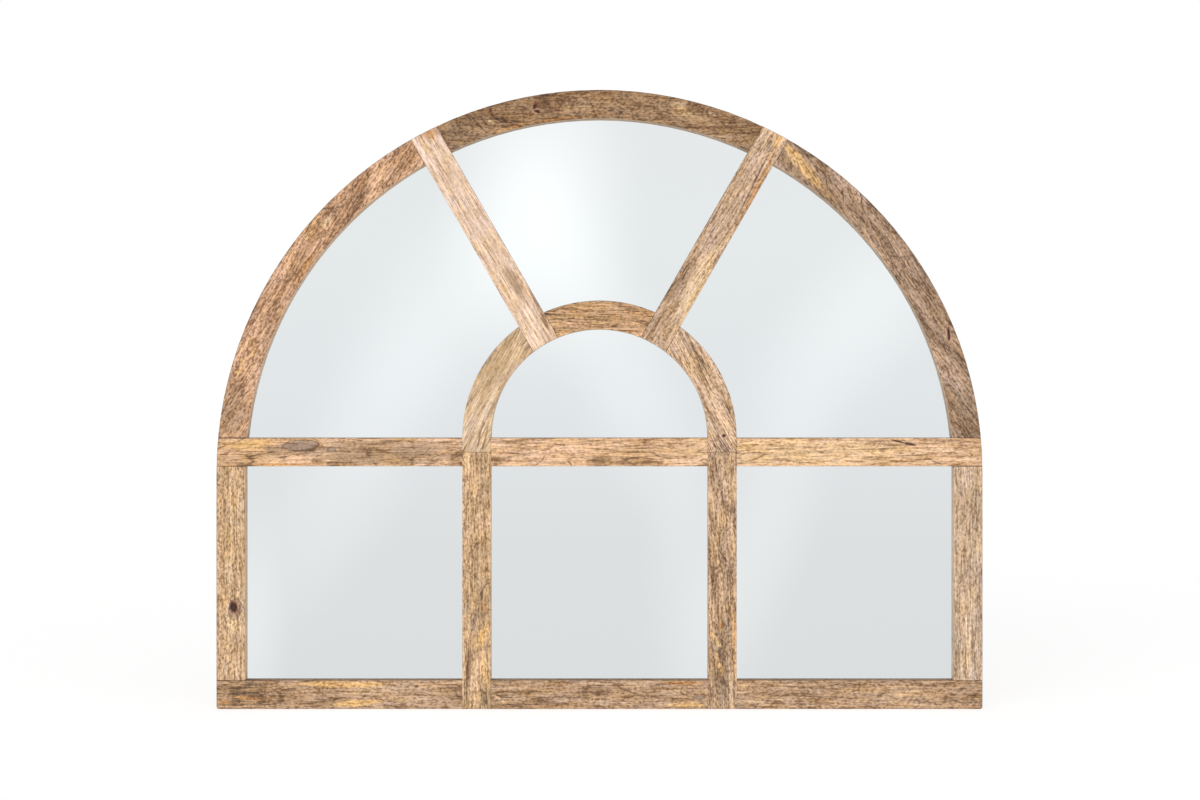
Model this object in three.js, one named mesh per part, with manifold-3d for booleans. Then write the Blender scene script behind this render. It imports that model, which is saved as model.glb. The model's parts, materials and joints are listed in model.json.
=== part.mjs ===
// Arched window mirror: a lattice of solid wooden bars, halved together like a
// round-headed window, with seven mirror panes set in from behind, a backing
// board screwed over them and two ring hangers on the back of the arch.
// Millimetres, +Z up, the front looks along -Y, left and right are as seen from
// the front. The origin is the middle of the bottom edge, halfway through the wood.

import * as THREE from 'three';
import { mergeVertices } from 'three/addons/utils/BufferGeometryUtils.js';
import Module from 'manifold-3d';

const wasm = await Module();
wasm.setup();

// ---------------------------------------------------------------- the window's face
const WIDTH = 1200;            // over the stiles
const BAR = 45;                // face width of every bar
const RIM_CENTRE_Z = 370;      // height of the big arch's centre
const TRANSOM_BOTTOM = 380;
const TRANSOM_TOP = TRANSOM_BOTTOM + BAR;
const INNER_RADIUS = 215;      // outside of the small arch, which springs from the transom
const RADIAL_LEAN = Math.PI / 6;   // each slanting bar's lean from the vertical
const CORNER = 4;              // softened bottom corners

// ------------------------------------------------------------------ depth, front to back
const FACE_Y = -14;            // front of the wood
const LAP_Y = -9;              // where two halved bars meet, halfway through a bar
const LIP_Y = -4;              // back of the bars, against the glass
const GLASS = 4;
const BACK_Y = 14;             // back of the outer frame
const BOARD = 5;
const LIP = 8;                 // how far each bar's lip covers the glass
const LEDGE = 10;              // width of the step that the backing board lands on
const JOINT = 0.3;             // width of a glue line
const SLACK = 1;               // room round each pane and round the board
const PANE_GAP = 0.2;          // between the glass and the wood, in front and behind
const SEAT_GAP = 0.1;          // under a piece that is screwed or stuck on
const PAST = 1;                // how far a cutting solid runs past the face it cuts

const HALF = WIDTH / 2;
const GLUE = JOINT / 2;
const LEDGE_Y = LIP_Y + GLASS + 2 * PANE_GAP;
const BOARD_BACK = LEDGE_Y + SEAT_GAP + BOARD;
const GLASS_EDGE = BAR - LIP;              // inset of the glass rebate from the outer edge
const BOARD_EDGE = GLASS_EDGE - LEDGE;     // inset of the board rebate
const MULLION_X = INNER_RADIUS - BAR / 2;
const LAP_Z = (TRANSOM_BOTTOM + TRANSOM_TOP) / 2;
const FAR = 2 * WIDTH;
const RIM_STEPS = 32;          // facets in a quarter of the big arch
const ARCH_STEPS = 20;         // facets in a quarter of the small arch

// ---------------------------------------------------------------------------- hardware
const BOARD_SCREW = { head: 3.4, sink: 2.4, shank: 1.75, length: 15, reach: 3 };
const HANGER_SCREW = { head: 3, rise: 1.8, shank: 1.7, length: 17, reach: 3 };
const PAN_SIDE = 0.5;                      // upright share of a pan head's height
const PAN_FLAT = 0.7;                      // flat share of its radius
const RAIL_SCREWS = [-450, -150, 150, 450];    // X of the board's screws in the bottom rail
const STILE_SCREWS = [130, 290];           // heights of those in each stile
const RIM_SCREWS = [15, 45, 75];           // degrees up the rim of those in it
const TRANSOM_SCREW = 380;                 // X of those in the transom, left and right
const PILOT_RADIUS = 2.25;
const PILOT_SPARE = 0.5;                   // depth of a blind hole past the screw's point
const HEAD_ROOM = 0.6;                     // round a countersunk head
const SINK_ROOM = 0.5;                     // under it
const PILOT_STEPS = 8;
const SCREW_STEPS = 10;
const HANGER_ANGLE = 26 * Math.PI / 180;   // place of each hanger on the rim, above level
const HANGER_INSET = 14.5;                 // its middle line, in from the outer edge
const STRIP = 1;                           // thickness of the hanger's steel strip
const STRAP_WIDTH = 14;
const STRAP_TAIL = 31;                     // from the ring's pivot to the strap's round end
const BORE = 1.7;                          // inside radius of the strap's rolled eye
const FOLD_GAP = 0.3;                      // between the strap's two leaves, and under it
const EYE_CLOSES = 0.68 * Math.PI;         // how far round the strip is rolled, outside
const EYE_CLOSES_INSIDE = 0.74 * Math.PI;
const LEAF_STARTS = -6;                    // where the upper leaf lies flat again
const LEAF_BEND = 0.4;                     // the bend's outside starts this much further on
const STRAP_SCREWS = [-10.5, -23];
const WIRE = 1.5;                          // radius of the ring's wire
const RING_HALF = 10.5;                    // half width of the ring's D, on the wire's centre
const RING_SIDE = 5.5;                     // straight side of the D
const RING_CORNER = 3;
const RING_POINTS = 40;
const WIRE_STEPS = 8;
const BEND_STEPS = 8;
const RING_LEAN = 4.3 * Math.PI / 180;     // the ring lies back against the wood
const PIVOT_RISE = FOLD_GAP + STRIP + BORE;
const STRAP_RISE = 2 * (FOLD_GAP + STRIP);
const EYE_TOP = PIVOT_RISE + BORE + STRIP;
const PAD = { radius: 8, thickness: 5, steps: 20 };

// --------------------------------------------------------------------------- finishes
const wood = (colour) => new THREE.MeshStandardMaterial({
  color: colour,
  roughness: 0.72,
  metalness: 0,
});
const mirrorGlass = new THREE.MeshStandardMaterial({ color: 0xe4e8ea, roughness: 0.03, metalness: 1 });
const mdf = new THREE.MeshStandardMaterial({ color: 0xa98660, roughness: 0.85, metalness: 0 });
const zincSteel = new THREE.MeshStandardMaterial({ color: 0xb9bcbe, roughness: 0.35, metalness: 1 });
const felt = new THREE.MeshStandardMaterial({ color: 0x4a423b, roughness: 0.95, metalness: 0 });

const windowMirror = new THREE.Group();

// ------------------------------------------------------------- solids from three.js shapes
function toSolid(geometry) {
  geometry.deleteAttribute('normal');
  geometry.deleteAttribute('uv');
  const merged = mergeVertices(geometry, 1e-3);
  return new wasm.Manifold(new wasm.Mesh({
    numProp: 3,
    vertProperties: new Float32Array(merged.attributes.position.array),
    triVerts: new Uint32Array(merged.index.array),
  }));
}

function toGeometry(solid) {
  const mesh = solid.getMesh();
  const geometry = new THREE.BufferGeometry();
  geometry.setAttribute('position', new THREE.BufferAttribute(mesh.vertProperties, 3));
  geometry.setIndex(new THREE.BufferAttribute(mesh.triVerts, 1));
  const flat = geometry.toNonIndexed();
  flat.computeVertexNormals();
  return flat;
}

function add(parent, name, geometry, material) {
  const mesh = new THREE.Mesh(geometry, material);
  mesh.name = name;
  parent.add(mesh);
  return mesh;
}

// A plate that stands upright: its outline is drawn in the window's face (X, Z).
function plate(shape, yFront, yBack, curveSegments = RIM_STEPS) {
  const geometry = new THREE.ExtrudeGeometry(shape, {
    depth: yBack - yFront,
    bevelEnabled: false,
    curveSegments,
  });
  geometry.rotateX(Math.PI / 2);
  geometry.translate(0, yBack, 0);
  return toSolid(geometry);
}

function rectangle(x0, x1, z0, z1) {
  const shape = new THREE.Shape();
  shape.moveTo(x0, z0);
  shape.lineTo(x1, z0);
  shape.lineTo(x1, z1);
  shape.lineTo(x0, z1);
  shape.closePath();
  return shape;
}

const block = (x0, x1, z0, z1, yFront, yBack) => plate(rectangle(x0, x1, z0, z1), yFront, yBack);

// ------------------------------------------------------------------- outlines of the window
// The whole window's outline, drawn in from its outer edge: square foot, round head.
function windowOutline(inset, corner = 0) {
  const half = HALF - inset;
  const shape = new THREE.Shape();
  shape.moveTo(-half + corner, inset);
  shape.lineTo(half - corner, inset);
  if (corner > 0) shape.absarc(half - corner, inset + corner, corner, -Math.PI / 2, 0, false);
  shape.lineTo(half, RIM_CENTRE_Z);
  shape.absarc(0, RIM_CENTRE_Z, half, 0, Math.PI, false);
  shape.lineTo(-half, inset + corner);
  if (corner > 0) shape.absarc(-half + corner, inset + corner, corner, Math.PI, 1.5 * Math.PI, false);
  return shape;
}

// The small arch's outline at a given radius, with straight feet down to a level.
function archOutline(radius, footZ) {
  const shape = new THREE.Shape();
  shape.moveTo(-radius, footZ);
  shape.lineTo(radius, footZ);
  shape.lineTo(radius, TRANSOM_TOP);
  shape.absarc(0, TRANSOM_TOP, radius, 0, Math.PI, false);
  shape.lineTo(-radius, footZ);
  return shape;
}

const windowPlate = (inset, yFront, yBack) => plate(windowOutline(inset), yFront, yBack);

function archPlate(radius, footZ, yFront, yBack) {
  return plate(archOutline(radius, footZ), yFront, yBack, ARCH_STEPS);
}

// A straight band along a slanting bar: across from v0 to v1, on one side (-1 left, 1 right)
// of the window. v grows to the right, and the bar's middle line is v = 0.
function slantBand(side, v0, v1, yFront, yBack) {
  const lean = side * RADIAL_LEAN;
  const along = new THREE.Vector2(Math.sin(lean), Math.cos(lean));
  const across = new THREE.Vector2(along.y, -along.x);
  const shape = new THREE.Shape();
  [[0, v0], [0, v1], [FAR, v1], [FAR, v0]].forEach(([u, v], i) => {
    const x = along.x * u + across.x * v;
    const z = TRANSOM_TOP + along.y * u + across.y * v;
    if (i === 0) shape.moveTo(x, z);
    else shape.lineTo(x, z);
  });
  shape.closePath();
  return plate(shape, yFront, yBack);
}

// What lies outside a slanting bar's edge line, at a distance from its middle line.
function outsideOf(side, distance, yFront, yBack) {
  return side < 0
    ? slantBand(side, -FAR, -distance, yFront, yBack)
    : slantBand(side, distance, FAR, yFront, yBack);
}

// What lies between the two slanting bars, kept a distance from their middle lines.
function betweenBars(distance, yFront, yBack) {
  return slantBand(-1, distance, FAR, yFront, yBack)
    .intersect(slantBand(1, -FAR, -distance, yFront, yBack));
}

const above = (z, yFront, yBack) => block(-FAR, FAR, z, FAR, yFront, yBack);

// One side of the window, from its foot to a level.
function lowSide(side, z, yFront, yBack) {
  return block(...(side < 0 ? [-FAR, 0] : [0, FAR]), -PAST, z, yFront, yBack);
}

// -------------------------------------------------------------------------- screw places
const BOARD_SCREW_INSET = (BOARD_EDGE + GLASS_EDGE) / 2;

function boardScrewPlaces() {
  const places = RAIL_SCREWS.map((x) => [x, BOARD_SCREW_INSET]);
  for (const side of [-1, 1]) {
    const radius = HALF - BOARD_SCREW_INSET;
    for (const z of STILE_SCREWS) places.push([side * radius, z]);
    for (const degrees of RIM_SCREWS) {
      const angle = THREE.MathUtils.degToRad(degrees);
      places.push([side * radius * Math.cos(angle), RIM_CENTRE_Z + radius * Math.sin(angle)]);
    }
    places.push([side * TRANSOM_SCREW, LAP_Z]);
    places.push([side * MULLION_X, TRANSOM_BOTTOM / 2]);
  }
  places.push([0, TRANSOM_TOP + INNER_RADIUS - BAR / 2]);
  return places;
}

// A point on a hanger, a distance up its strap from the ring's pivot.
function hangerPoint(side, distance) {
  const radius = HALF - HANGER_INSET;
  const x = radius * Math.cos(HANGER_ANGLE) - distance * Math.sin(HANGER_ANGLE);
  const z = RIM_CENTRE_Z + radius * Math.sin(HANGER_ANGLE) + distance * Math.cos(HANGER_ANGLE);
  return [side * x, z];
}

const boardScrews = boardScrewPlaces();
const strapScrews = [-1, 1].flatMap((side) => STRAP_SCREWS.map((s) => hangerPoint(side, s)));

function bore(x, z, radius, yFront, yBack) {
  const geometry = new THREE.CylinderGeometry(radius, radius, yBack - yFront, PILOT_STEPS);
  geometry.translate(x, (yFront + yBack) / 2, z);
  return toSolid(geometry);
}

const joined = (solids) => solids.reduce((all, one) => all.add(one));

// Blind holes in the wood for the screws' shanks.
const boardPilotEnd = BOARD_BACK - BOARD_SCREW.length - PILOT_SPARE;
const strapPilotEnd = BACK_Y + STRAP_RISE + SEAT_GAP - HANGER_SCREW.length - PILOT_SPARE;
const pilots = joined([
  ...boardScrews.map(([x, z]) => bore(x, z, PILOT_RADIUS, boardPilotEnd, BACK_Y + PAST)),
  ...strapScrews.map(([x, z]) => bore(x, z, PILOT_RADIUS, strapPilotEnd, BACK_Y + PAST)),
]);

function addWood(name, solid, colour) {
  return add(windowMirror, name, toGeometry(solid.subtract(pilots)), wood(colour));
}

// ------------------------------------------------------- the outer frame, in one stepped ring
// Full face width in front, then the step for the glass, then the step for the board.
function steppedRing() {
  return plate(windowOutline(0, CORNER), FACE_Y, BACK_Y)
    .subtract(windowPlate(BAR, FACE_Y - PAST, LIP_Y + PAST))
    .subtract(windowPlate(GLASS_EDGE, LIP_Y, LEDGE_Y + PAST))
    .subtract(windowPlate(BOARD_EDGE, LEDGE_Y, BACK_Y + PAST));
}

const ring = steppedRing();
const FRONT = [FACE_Y - PAST, LAP_Y - GLUE];    // the front half of a halved joint
const BEHIND = [LAP_Y + GLUE, BACK_Y + PAST];   // everything behind the joint's face
const THROUGH = [FACE_Y - PAST, BACK_Y + PAST];
const BODY = [FACE_Y, LIP_Y];                   // a bar in front of the glass
const WEB = [LAP_Y + GLUE, LEDGE_Y];            // the rib between two panes
const WEB_END = [LIP_Y + GLUE, LEDGE_Y];        // its ends, behind the next bar's lip

// A notch cut in the front of a level board for an upright bar that laps over it.
const uprightNotch = (side, z0, z1) => {
  const x0 = side * MULLION_X - BAR / 2 - GLUE;
  const x1 = side * MULLION_X + BAR / 2 + GLUE;
  return block(x0, x1, z0 - PAST, z1 + PAST, FACE_Y - PAST, LAP_Y + GLUE);
};

function bottomRail() {
  const inner = HALF - BAR - GLUE;
  const front = ring.intersect(block(-FAR, FAR, -PAST, BAR - GLUE, ...FRONT));
  const middle = ring.intersect(block(-inner, inner, -PAST, BAR, ...THROUGH));
  return front.add(middle)
    .subtract(uprightNotch(-1, 0, BAR))
    .subtract(uprightNotch(1, 0, BAR));
}

function stile(side) {
  const outer = side < 0 ? [-FAR, -HALF + BAR - GLUE] : [HALF - BAR + GLUE, FAR];
  const body = block(...outer, BAR + GLUE, TRANSOM_BOTTOM - GLUE, ...THROUGH);
  const tongues = block(...outer, -PAST, LAP_Z - GLUE, ...BEHIND);
  return ring.intersect(body.add(tongues));
}

function rimSide(side) {
  const body = outsideOf(side, BAR / 2 + GLUE, ...THROUGH)
    .add(lowSide(side, TRANSOM_TOP + BAR, ...THROUGH))
    .intersect(above(TRANSOM_TOP + GLUE, ...THROUGH));
  const tongues = outsideOf(side, GLUE, ...BEHIND)
    .add(lowSide(side, TRANSOM_TOP + BAR, ...BEHIND))
    .intersect(above(LAP_Z + GLUE, ...BEHIND));
  return ring.intersect(body.add(tongues));
}

function rimTop() {
  const body = betweenBars(BAR / 2 + GLUE, ...THROUGH);
  const tongues = betweenBars(GLUE, ...BEHIND);
  return ring.intersect(body.add(tongues));
}

// ----------------------------------------------------------------------- bars of the lattice
function transom() {
  const z0 = TRANSOM_BOTTOM + GLUE;
  const z1 = TRANSOM_TOP - GLUE;
  const ribZ = [TRANSOM_BOTTOM + LIP, TRANSOM_TOP - LIP];
  const front = block(-FAR, FAR, z0, z1, FACE_Y, LAP_Y - GLUE)
    .intersect(windowPlate(0, ...THROUGH));
  const body = block(-HALF, HALF, z0, z1, ...BODY)
    .add(block(-HALF, HALF, ...ribZ, ...WEB))
    .intersect(windowPlate(BAR + GLUE, ...THROUGH));
  const webEnds = block(-HALF, HALF, ...ribZ, ...WEB_END)
    .intersect(windowPlate(GLASS_EDGE + GLUE, ...THROUGH));
  return joined([front, body, webEnds])
    .subtract(uprightNotch(-1, z0, z1))
    .subtract(uprightNotch(1, z0, z1));
}

function mullion(side) {
  const x0 = side * MULLION_X - BAR / 2;
  const x1 = side * MULLION_X + BAR / 2;
  const tongues = block(x0, x1, 0, LAP_Z - GLUE, FACE_Y, LAP_Y - GLUE);
  const body = block(x0, x1, BAR + GLUE, TRANSOM_BOTTOM - GLUE, ...BODY);
  const web = block(x0 + LIP, x1 - LIP, BAR + GLUE, TRANSOM_BOTTOM - GLUE, ...WEB);
  const webEndZ = [GLASS_EDGE + GLUE, TRANSOM_BOTTOM + LIP - GLUE];
  const webEnds = block(x0 + LIP, x1 - LIP, ...webEndZ, ...WEB_END);
  return joined([tongues, body, web, webEnds]);
}

// The small arch as one ring on feet, cut off level.
function archRing(lip, footZ, yFront, yBack) {
  return archPlate(INNER_RADIUS - lip, TRANSOM_BOTTOM, yFront, yBack)
    .subtract(archPlate(INNER_RADIUS - BAR + lip, TRANSOM_BOTTOM - PAST, yFront - PAST, yBack + PAST))
    .intersect(above(footZ, yFront, yBack));
}

const archFeet = archRing(0, LAP_Z + GLUE, FACE_Y, LAP_Y - GLUE);
const archBody = archRing(0, TRANSOM_TOP + GLUE, ...BODY);
const archWeb = archRing(LIP, TRANSOM_TOP + GLUE, ...WEB)
  .add(archRing(LIP, TRANSOM_TOP - LIP + GLUE, ...WEB_END));

// The arch between two cuts: the face stops at the slanting bars' edges, what is
// behind runs on to their middle lines.
function archPiece(faceZone, tongueZone) {
  const face = archFeet.add(archBody).intersect(faceZone);
  const tongues = archBody.intersect(above(TRANSOM_TOP, ...BEHIND))
    .add(archWeb)
    .intersect(tongueZone);
  return face.add(tongues);
}

function archSide(side) {
  const foot = lowSide(side, TRANSOM_TOP + BAR, ...THROUGH);
  return archPiece(
    outsideOf(side, BAR / 2 + GLUE, ...THROUGH).add(foot),
    outsideOf(side, GLUE, ...BEHIND).add(foot),
  );
}

function archTop() {
  return archPiece(betweenBars(BAR / 2 + GLUE, ...THROUGH), betweenBars(GLUE, ...BEHIND));
}

function radialBar(side) {
  const face = slantBand(side, -BAR / 2, BAR / 2, FACE_Y, LAP_Y - GLUE)
    .intersect(windowPlate(0, ...THROUGH))
    .subtract(archPlate(INNER_RADIUS - BAR, 0, ...THROUGH));
  const body = slantBand(side, -BAR / 2, BAR / 2, ...BODY)
    .intersect(windowPlate(BAR + GLUE, ...THROUGH))
    .subtract(archPlate(INNER_RADIUS + GLUE, 0, ...THROUGH));
  const ribHalf = BAR / 2 - LIP;
  const web = slantBand(side, -ribHalf, ribHalf, ...WEB)
    .intersect(windowPlate(BAR + GLUE, ...THROUGH))
    .subtract(archPlate(INNER_RADIUS + GLUE, 0, ...THROUGH));
  const webEnds = slantBand(side, -ribHalf, ribHalf, ...WEB_END)
    .intersect(windowPlate(GLASS_EDGE + GLUE, ...THROUGH))
    .subtract(archPlate(INNER_RADIUS - LIP + GLUE, 0, ...THROUGH));
  return joined([face, body, web, webEnds]);
}

// Colours are each board's own tone: sawn from different planks, they were never matched.
addWood('bottom_rail', bottomRail(), 0xb89476);
addWood('transom', transom(), 0xd4ae88);
addWood('stile_left', stile(-1), 0xcda984);
addWood('stile_right', stile(1), 0xc8aa8d);
addWood('rim_left', rimSide(-1), 0xb28c6b);
addWood('rim_top', rimTop(), 0x9f7e60);
addWood('rim_right', rimSide(1), 0xa08268);
addWood('mullion_left', mullion(-1), 0xc6a37e);
addWood('mullion_right', mullion(1), 0xb99878);
addWood('inner_arch_left', archSide(-1), 0xdebe9e);
addWood('inner_arch_top', archTop(), 0xc39b75);
addWood('inner_arch_right', archSide(1), 0xd2b090);
addWood('radial_bar_left', radialBar(-1), 0xe1bfa1);
addWood('radial_bar_right', radialBar(1), 0xcead8f);

// --------------------------------------------------------------------------------- panes
// Each pane lies behind the lips round its opening, with room to spare at its edges.
const PANE_FRONT = LIP_Y + PANE_GAP;
const PANE_BACK = PANE_FRONT + GLASS;
const PANE = [PANE_FRONT, PANE_BACK];
const WEB_HALF = BAR / 2 - LIP;

function lowerPane(x0, x1) {
  return block(x0, x1, GLASS_EDGE + SLACK, TRANSOM_BOTTOM + LIP - SLACK, ...PANE);
}

function upperPane(zone) {
  return windowPlate(GLASS_EDGE + SLACK, ...PANE)
    .intersect(above(TRANSOM_TOP - LIP + SLACK, ...PANE))
    .intersect(zone)
    .subtract(archPlate(INNER_RADIUS - LIP + SLACK, 0, ...THROUGH));
}

function upperSidePane(side) {
  const low = lowSide(side, TRANSOM_TOP + PAST, ...THROUGH);
  return upperPane(outsideOf(side, WEB_HALF + SLACK, ...THROUGH).add(low));
}

const addPane = (name, solid) => add(windowMirror, name, toGeometry(solid), mirrorGlass);
const outerX = HALF - GLASS_EDGE - SLACK;
const mullionOut = MULLION_X + WEB_HALF + SLACK;
const mullionIn = MULLION_X - WEB_HALF - SLACK;
addPane('pane_lower_left', lowerPane(-outerX, -mullionOut));
addPane('pane_lower_middle', lowerPane(-mullionIn, mullionIn));
addPane('pane_lower_right', lowerPane(mullionOut, outerX));
addPane('pane_upper_left', upperSidePane(-1));
addPane('pane_upper_middle', upperPane(betweenBars(WEB_HALF + SLACK, ...THROUGH)));
addPane('pane_upper_right', upperSidePane(1));
const innerPaneRadius = INNER_RADIUS - BAR + LIP - SLACK;
addPane('pane_inner_arch', archPlate(innerPaneRadius, TRANSOM_TOP - LIP + SLACK, ...PANE));

// ------------------------------------------------------------------- backing board and screws
// A screw seen from its axis: point, shank and head, standing on its point along +Y.
// The origin is under a pan head, or level with the top of a countersunk one.
function screwGeometry(screw) {
  const top = screw.sink ? 0 : screw.rise;
  const under = screw.sink ? -screw.sink : 0;
  const profile = [
    new THREE.Vector2(0, -screw.length),
    new THREE.Vector2(screw.shank, -screw.length + screw.reach),
    new THREE.Vector2(screw.shank, under),
  ];
  profile.push(new THREE.Vector2(screw.head, 0));
  if (screw.rise) {
    profile.push(new THREE.Vector2(screw.head, screw.rise * PAN_SIDE));
    profile.push(new THREE.Vector2(screw.head * PAN_FLAT, top));
  }
  profile.push(new THREE.Vector2(0, top));
  return new THREE.LatheGeometry(profile, SCREW_STEPS);
}

// The hole for a countersunk screw: a bore with a funnel at the board's back.
function countersink(x, z) {
  const funnel = new THREE.LatheGeometry([
    new THREE.Vector2(0, -BOARD - PAST),
    new THREE.Vector2(PILOT_RADIUS, -BOARD - PAST),
    new THREE.Vector2(PILOT_RADIUS, -BOARD_SCREW.sink - SINK_ROOM),
    new THREE.Vector2(BOARD_SCREW.head + HEAD_ROOM, 0),
    new THREE.Vector2(BOARD_SCREW.head + HEAD_ROOM, PAST),
    new THREE.Vector2(0, PAST),
  ], PILOT_STEPS);
  funnel.translate(x, BOARD_BACK, z);
  return toSolid(funnel);
}

const board = windowPlate(BOARD_EDGE + SLACK, BOARD_BACK - BOARD, BOARD_BACK);
const countersinks = joined(boardScrews.map(([x, z]) => countersink(x, z)));
add(windowMirror, 'back_board', toGeometry(board.subtract(countersinks)), mdf);

boardScrews.forEach(([x, z], i) => {
  const number = String(i + 1).padStart(2, '0');
  const screw = add(windowMirror, `board_screw_${number}`, screwGeometry(BOARD_SCREW), zincSteel);
  screw.position.set(x, BOARD_BACK, z);
});

// -------------------------------------------------------------------------------- hangers
// The strap's side view: one leaf flat on the wood, rolled round the ring's bar and
// folded back on itself. Along the strap is the outline's first axis, off the wood its second.
function strapProfile() {
  const under = FOLD_GAP;
  const fold = under + STRIP;
  const top = fold + FOLD_GAP;
  const shape = new THREE.Shape();
  shape.moveTo(-STRAP_TAIL, under);
  shape.lineTo(0, under);
  shape.absarc(0, PIVOT_RISE, BORE + STRIP, -Math.PI / 2, EYE_CLOSES, false);
  shape.lineTo(LEAF_STARTS - LEAF_BEND, top + STRIP);
  shape.lineTo(-STRAP_TAIL, top + STRIP);
  shape.lineTo(-STRAP_TAIL, top);
  shape.lineTo(LEAF_STARTS, top);
  shape.absarc(0, PIVOT_RISE, BORE, EYE_CLOSES_INSIDE, -Math.PI / 2, true);
  shape.lineTo(-STRAP_TAIL, fold);
  shape.closePath();
  return shape;
}

// The strap from above, with a round end.
function strapPlan() {
  const half = STRAP_WIDTH / 2;
  const shape = new THREE.Shape();
  shape.moveTo(half, BORE + 2 * STRIP);
  shape.lineTo(-half, BORE + 2 * STRIP);
  shape.lineTo(-half, -STRAP_TAIL + half);
  shape.absarc(0, -STRAP_TAIL + half, half, Math.PI, 2 * Math.PI, false);
  shape.closePath();
  return shape;
}

function strapGeometry() {
  const rolled = new THREE.ExtrudeGeometry(strapProfile(), {
    depth: STRAP_WIDTH,
    bevelEnabled: false,
    curveSegments: BEND_STEPS,
  });
  rolled.rotateY(-Math.PI / 2);
  rolled.translate(STRAP_WIDTH / 2, 0, 0);
  const holes = joined(STRAP_SCREWS.map((z) => bore(0, z, PILOT_RADIUS, -PAST, STRAP_RISE + PAST)));
  const plan = plate(strapPlan(), -PAST, EYE_TOP + PAST, BEND_STEPS);
  return toGeometry(toSolid(rolled).intersect(plan).subtract(holes));
}

// The D-shaped ring: a straight bar in the strap's eye, two short sides, a round head.
function ringGeometry() {
  const corner = RING_CORNER;
  const outline = new THREE.Path();
  outline.moveTo(-RING_HALF + corner, 0);
  outline.lineTo(RING_HALF - corner, 0);
  outline.absarc(RING_HALF - corner, corner, corner, -Math.PI / 2, 0, false);
  outline.lineTo(RING_HALF, RING_SIDE);
  outline.absarc(0, RING_SIDE, RING_HALF, 0, Math.PI, false);
  outline.lineTo(-RING_HALF, corner);
  outline.absarc(-RING_HALF + corner, corner, corner, Math.PI, 1.5 * Math.PI, false);
  const points = outline.getSpacedPoints(RING_POINTS).slice(0, -1);
  const loop = new THREE.CatmullRomCurve3(points.map((p) => new THREE.Vector3(p.x, 0, p.y)), true);
  const wire = new THREE.TubeGeometry(loop, RING_POINTS, WIRE, WIRE_STEPS, true);
  return toGeometry(toSolid(wire));
}

function hanger(side, word) {
  const [x, z] = hangerPoint(side, 0);
  const group = new THREE.Group();
  group.position.set(x, BACK_Y, z);
  group.rotation.y = -side * HANGER_ANGLE;
  windowMirror.add(group);
  add(group, `hanger_strap_${word}`, strapGeometry(), zincSteel);
  const ringMesh = add(group, `hanger_ring_${word}`, ringGeometry(), zincSteel);
  ringMesh.position.y = PIVOT_RISE;
  ringMesh.rotation.x = RING_LEAN;
  STRAP_SCREWS.forEach((along, i) => {
    const name = `hanger_screw_${word}_${i + 1}`;
    const screw = add(group, name, screwGeometry(HANGER_SCREW), zincSteel);
    screw.position.set(0, STRAP_RISE + SEAT_GAP, along);
  });
}

hanger(-1, 'left');
hanger(1, 'right');

// --------------------------------------------------------------------------- wall bumpers
// A felt pad stuck on the foot of each stile's back.
for (const [side, word] of [[-1, 'left'], [1, 'right']]) {
  const pad = new THREE.CylinderGeometry(PAD.radius, PAD.radius, PAD.thickness, PAD.steps);
  const bumper = add(windowMirror, `wall_bumper_${word}`, pad, felt);
  bumper.position.set(side * (HALF - BAR / 2), BACK_Y + SEAT_GAP + PAD.thickness / 2, BOARD_EDGE / 2);
}

export default windowMirror;
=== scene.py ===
"""Arched window mirror: a lattice of waxed mango wood bars with seven mirror panes set in behind.

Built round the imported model, in metres, +Z up, the front looking along -Y.
Left and right are as seen from the front.
"""

import json
import math

import bmesh
import bpy
from mathutils import Matrix, Vector
from mathutils.bvhtree import BVHTree


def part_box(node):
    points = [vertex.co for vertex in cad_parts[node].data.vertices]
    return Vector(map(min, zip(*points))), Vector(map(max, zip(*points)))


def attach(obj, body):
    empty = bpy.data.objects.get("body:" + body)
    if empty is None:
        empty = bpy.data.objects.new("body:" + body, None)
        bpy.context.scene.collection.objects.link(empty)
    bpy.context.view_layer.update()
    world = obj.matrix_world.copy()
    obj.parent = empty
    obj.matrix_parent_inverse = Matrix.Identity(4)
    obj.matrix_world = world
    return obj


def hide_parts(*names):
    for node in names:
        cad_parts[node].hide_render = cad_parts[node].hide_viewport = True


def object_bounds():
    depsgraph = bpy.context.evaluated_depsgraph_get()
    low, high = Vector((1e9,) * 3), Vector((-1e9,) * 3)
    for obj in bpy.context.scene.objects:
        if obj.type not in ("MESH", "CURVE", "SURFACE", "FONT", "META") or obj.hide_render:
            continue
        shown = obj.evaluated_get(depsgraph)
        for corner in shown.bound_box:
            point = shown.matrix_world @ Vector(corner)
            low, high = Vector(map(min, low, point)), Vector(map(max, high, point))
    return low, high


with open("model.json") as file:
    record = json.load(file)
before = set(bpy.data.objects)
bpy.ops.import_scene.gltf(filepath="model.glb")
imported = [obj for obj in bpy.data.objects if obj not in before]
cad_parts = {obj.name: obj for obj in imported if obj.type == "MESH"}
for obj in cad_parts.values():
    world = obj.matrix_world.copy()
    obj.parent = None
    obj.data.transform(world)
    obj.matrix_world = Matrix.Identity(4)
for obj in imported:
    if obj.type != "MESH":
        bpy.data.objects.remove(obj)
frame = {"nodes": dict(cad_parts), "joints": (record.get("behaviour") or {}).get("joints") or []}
cad_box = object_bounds()
scene = bpy.context.scene

# ------------------------------------------------------------------------------ the eye
# The photograph looks level at the middle of the face, from a little over twice the
# mirror's width away, so the arch's inner sides just show all round.
EYE_DISTANCE = 2.61
EYE_HEIGHT = 0.4841
EYE_RIGHT = 0.0008
SENSOR = 36
LENS = 50

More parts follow.
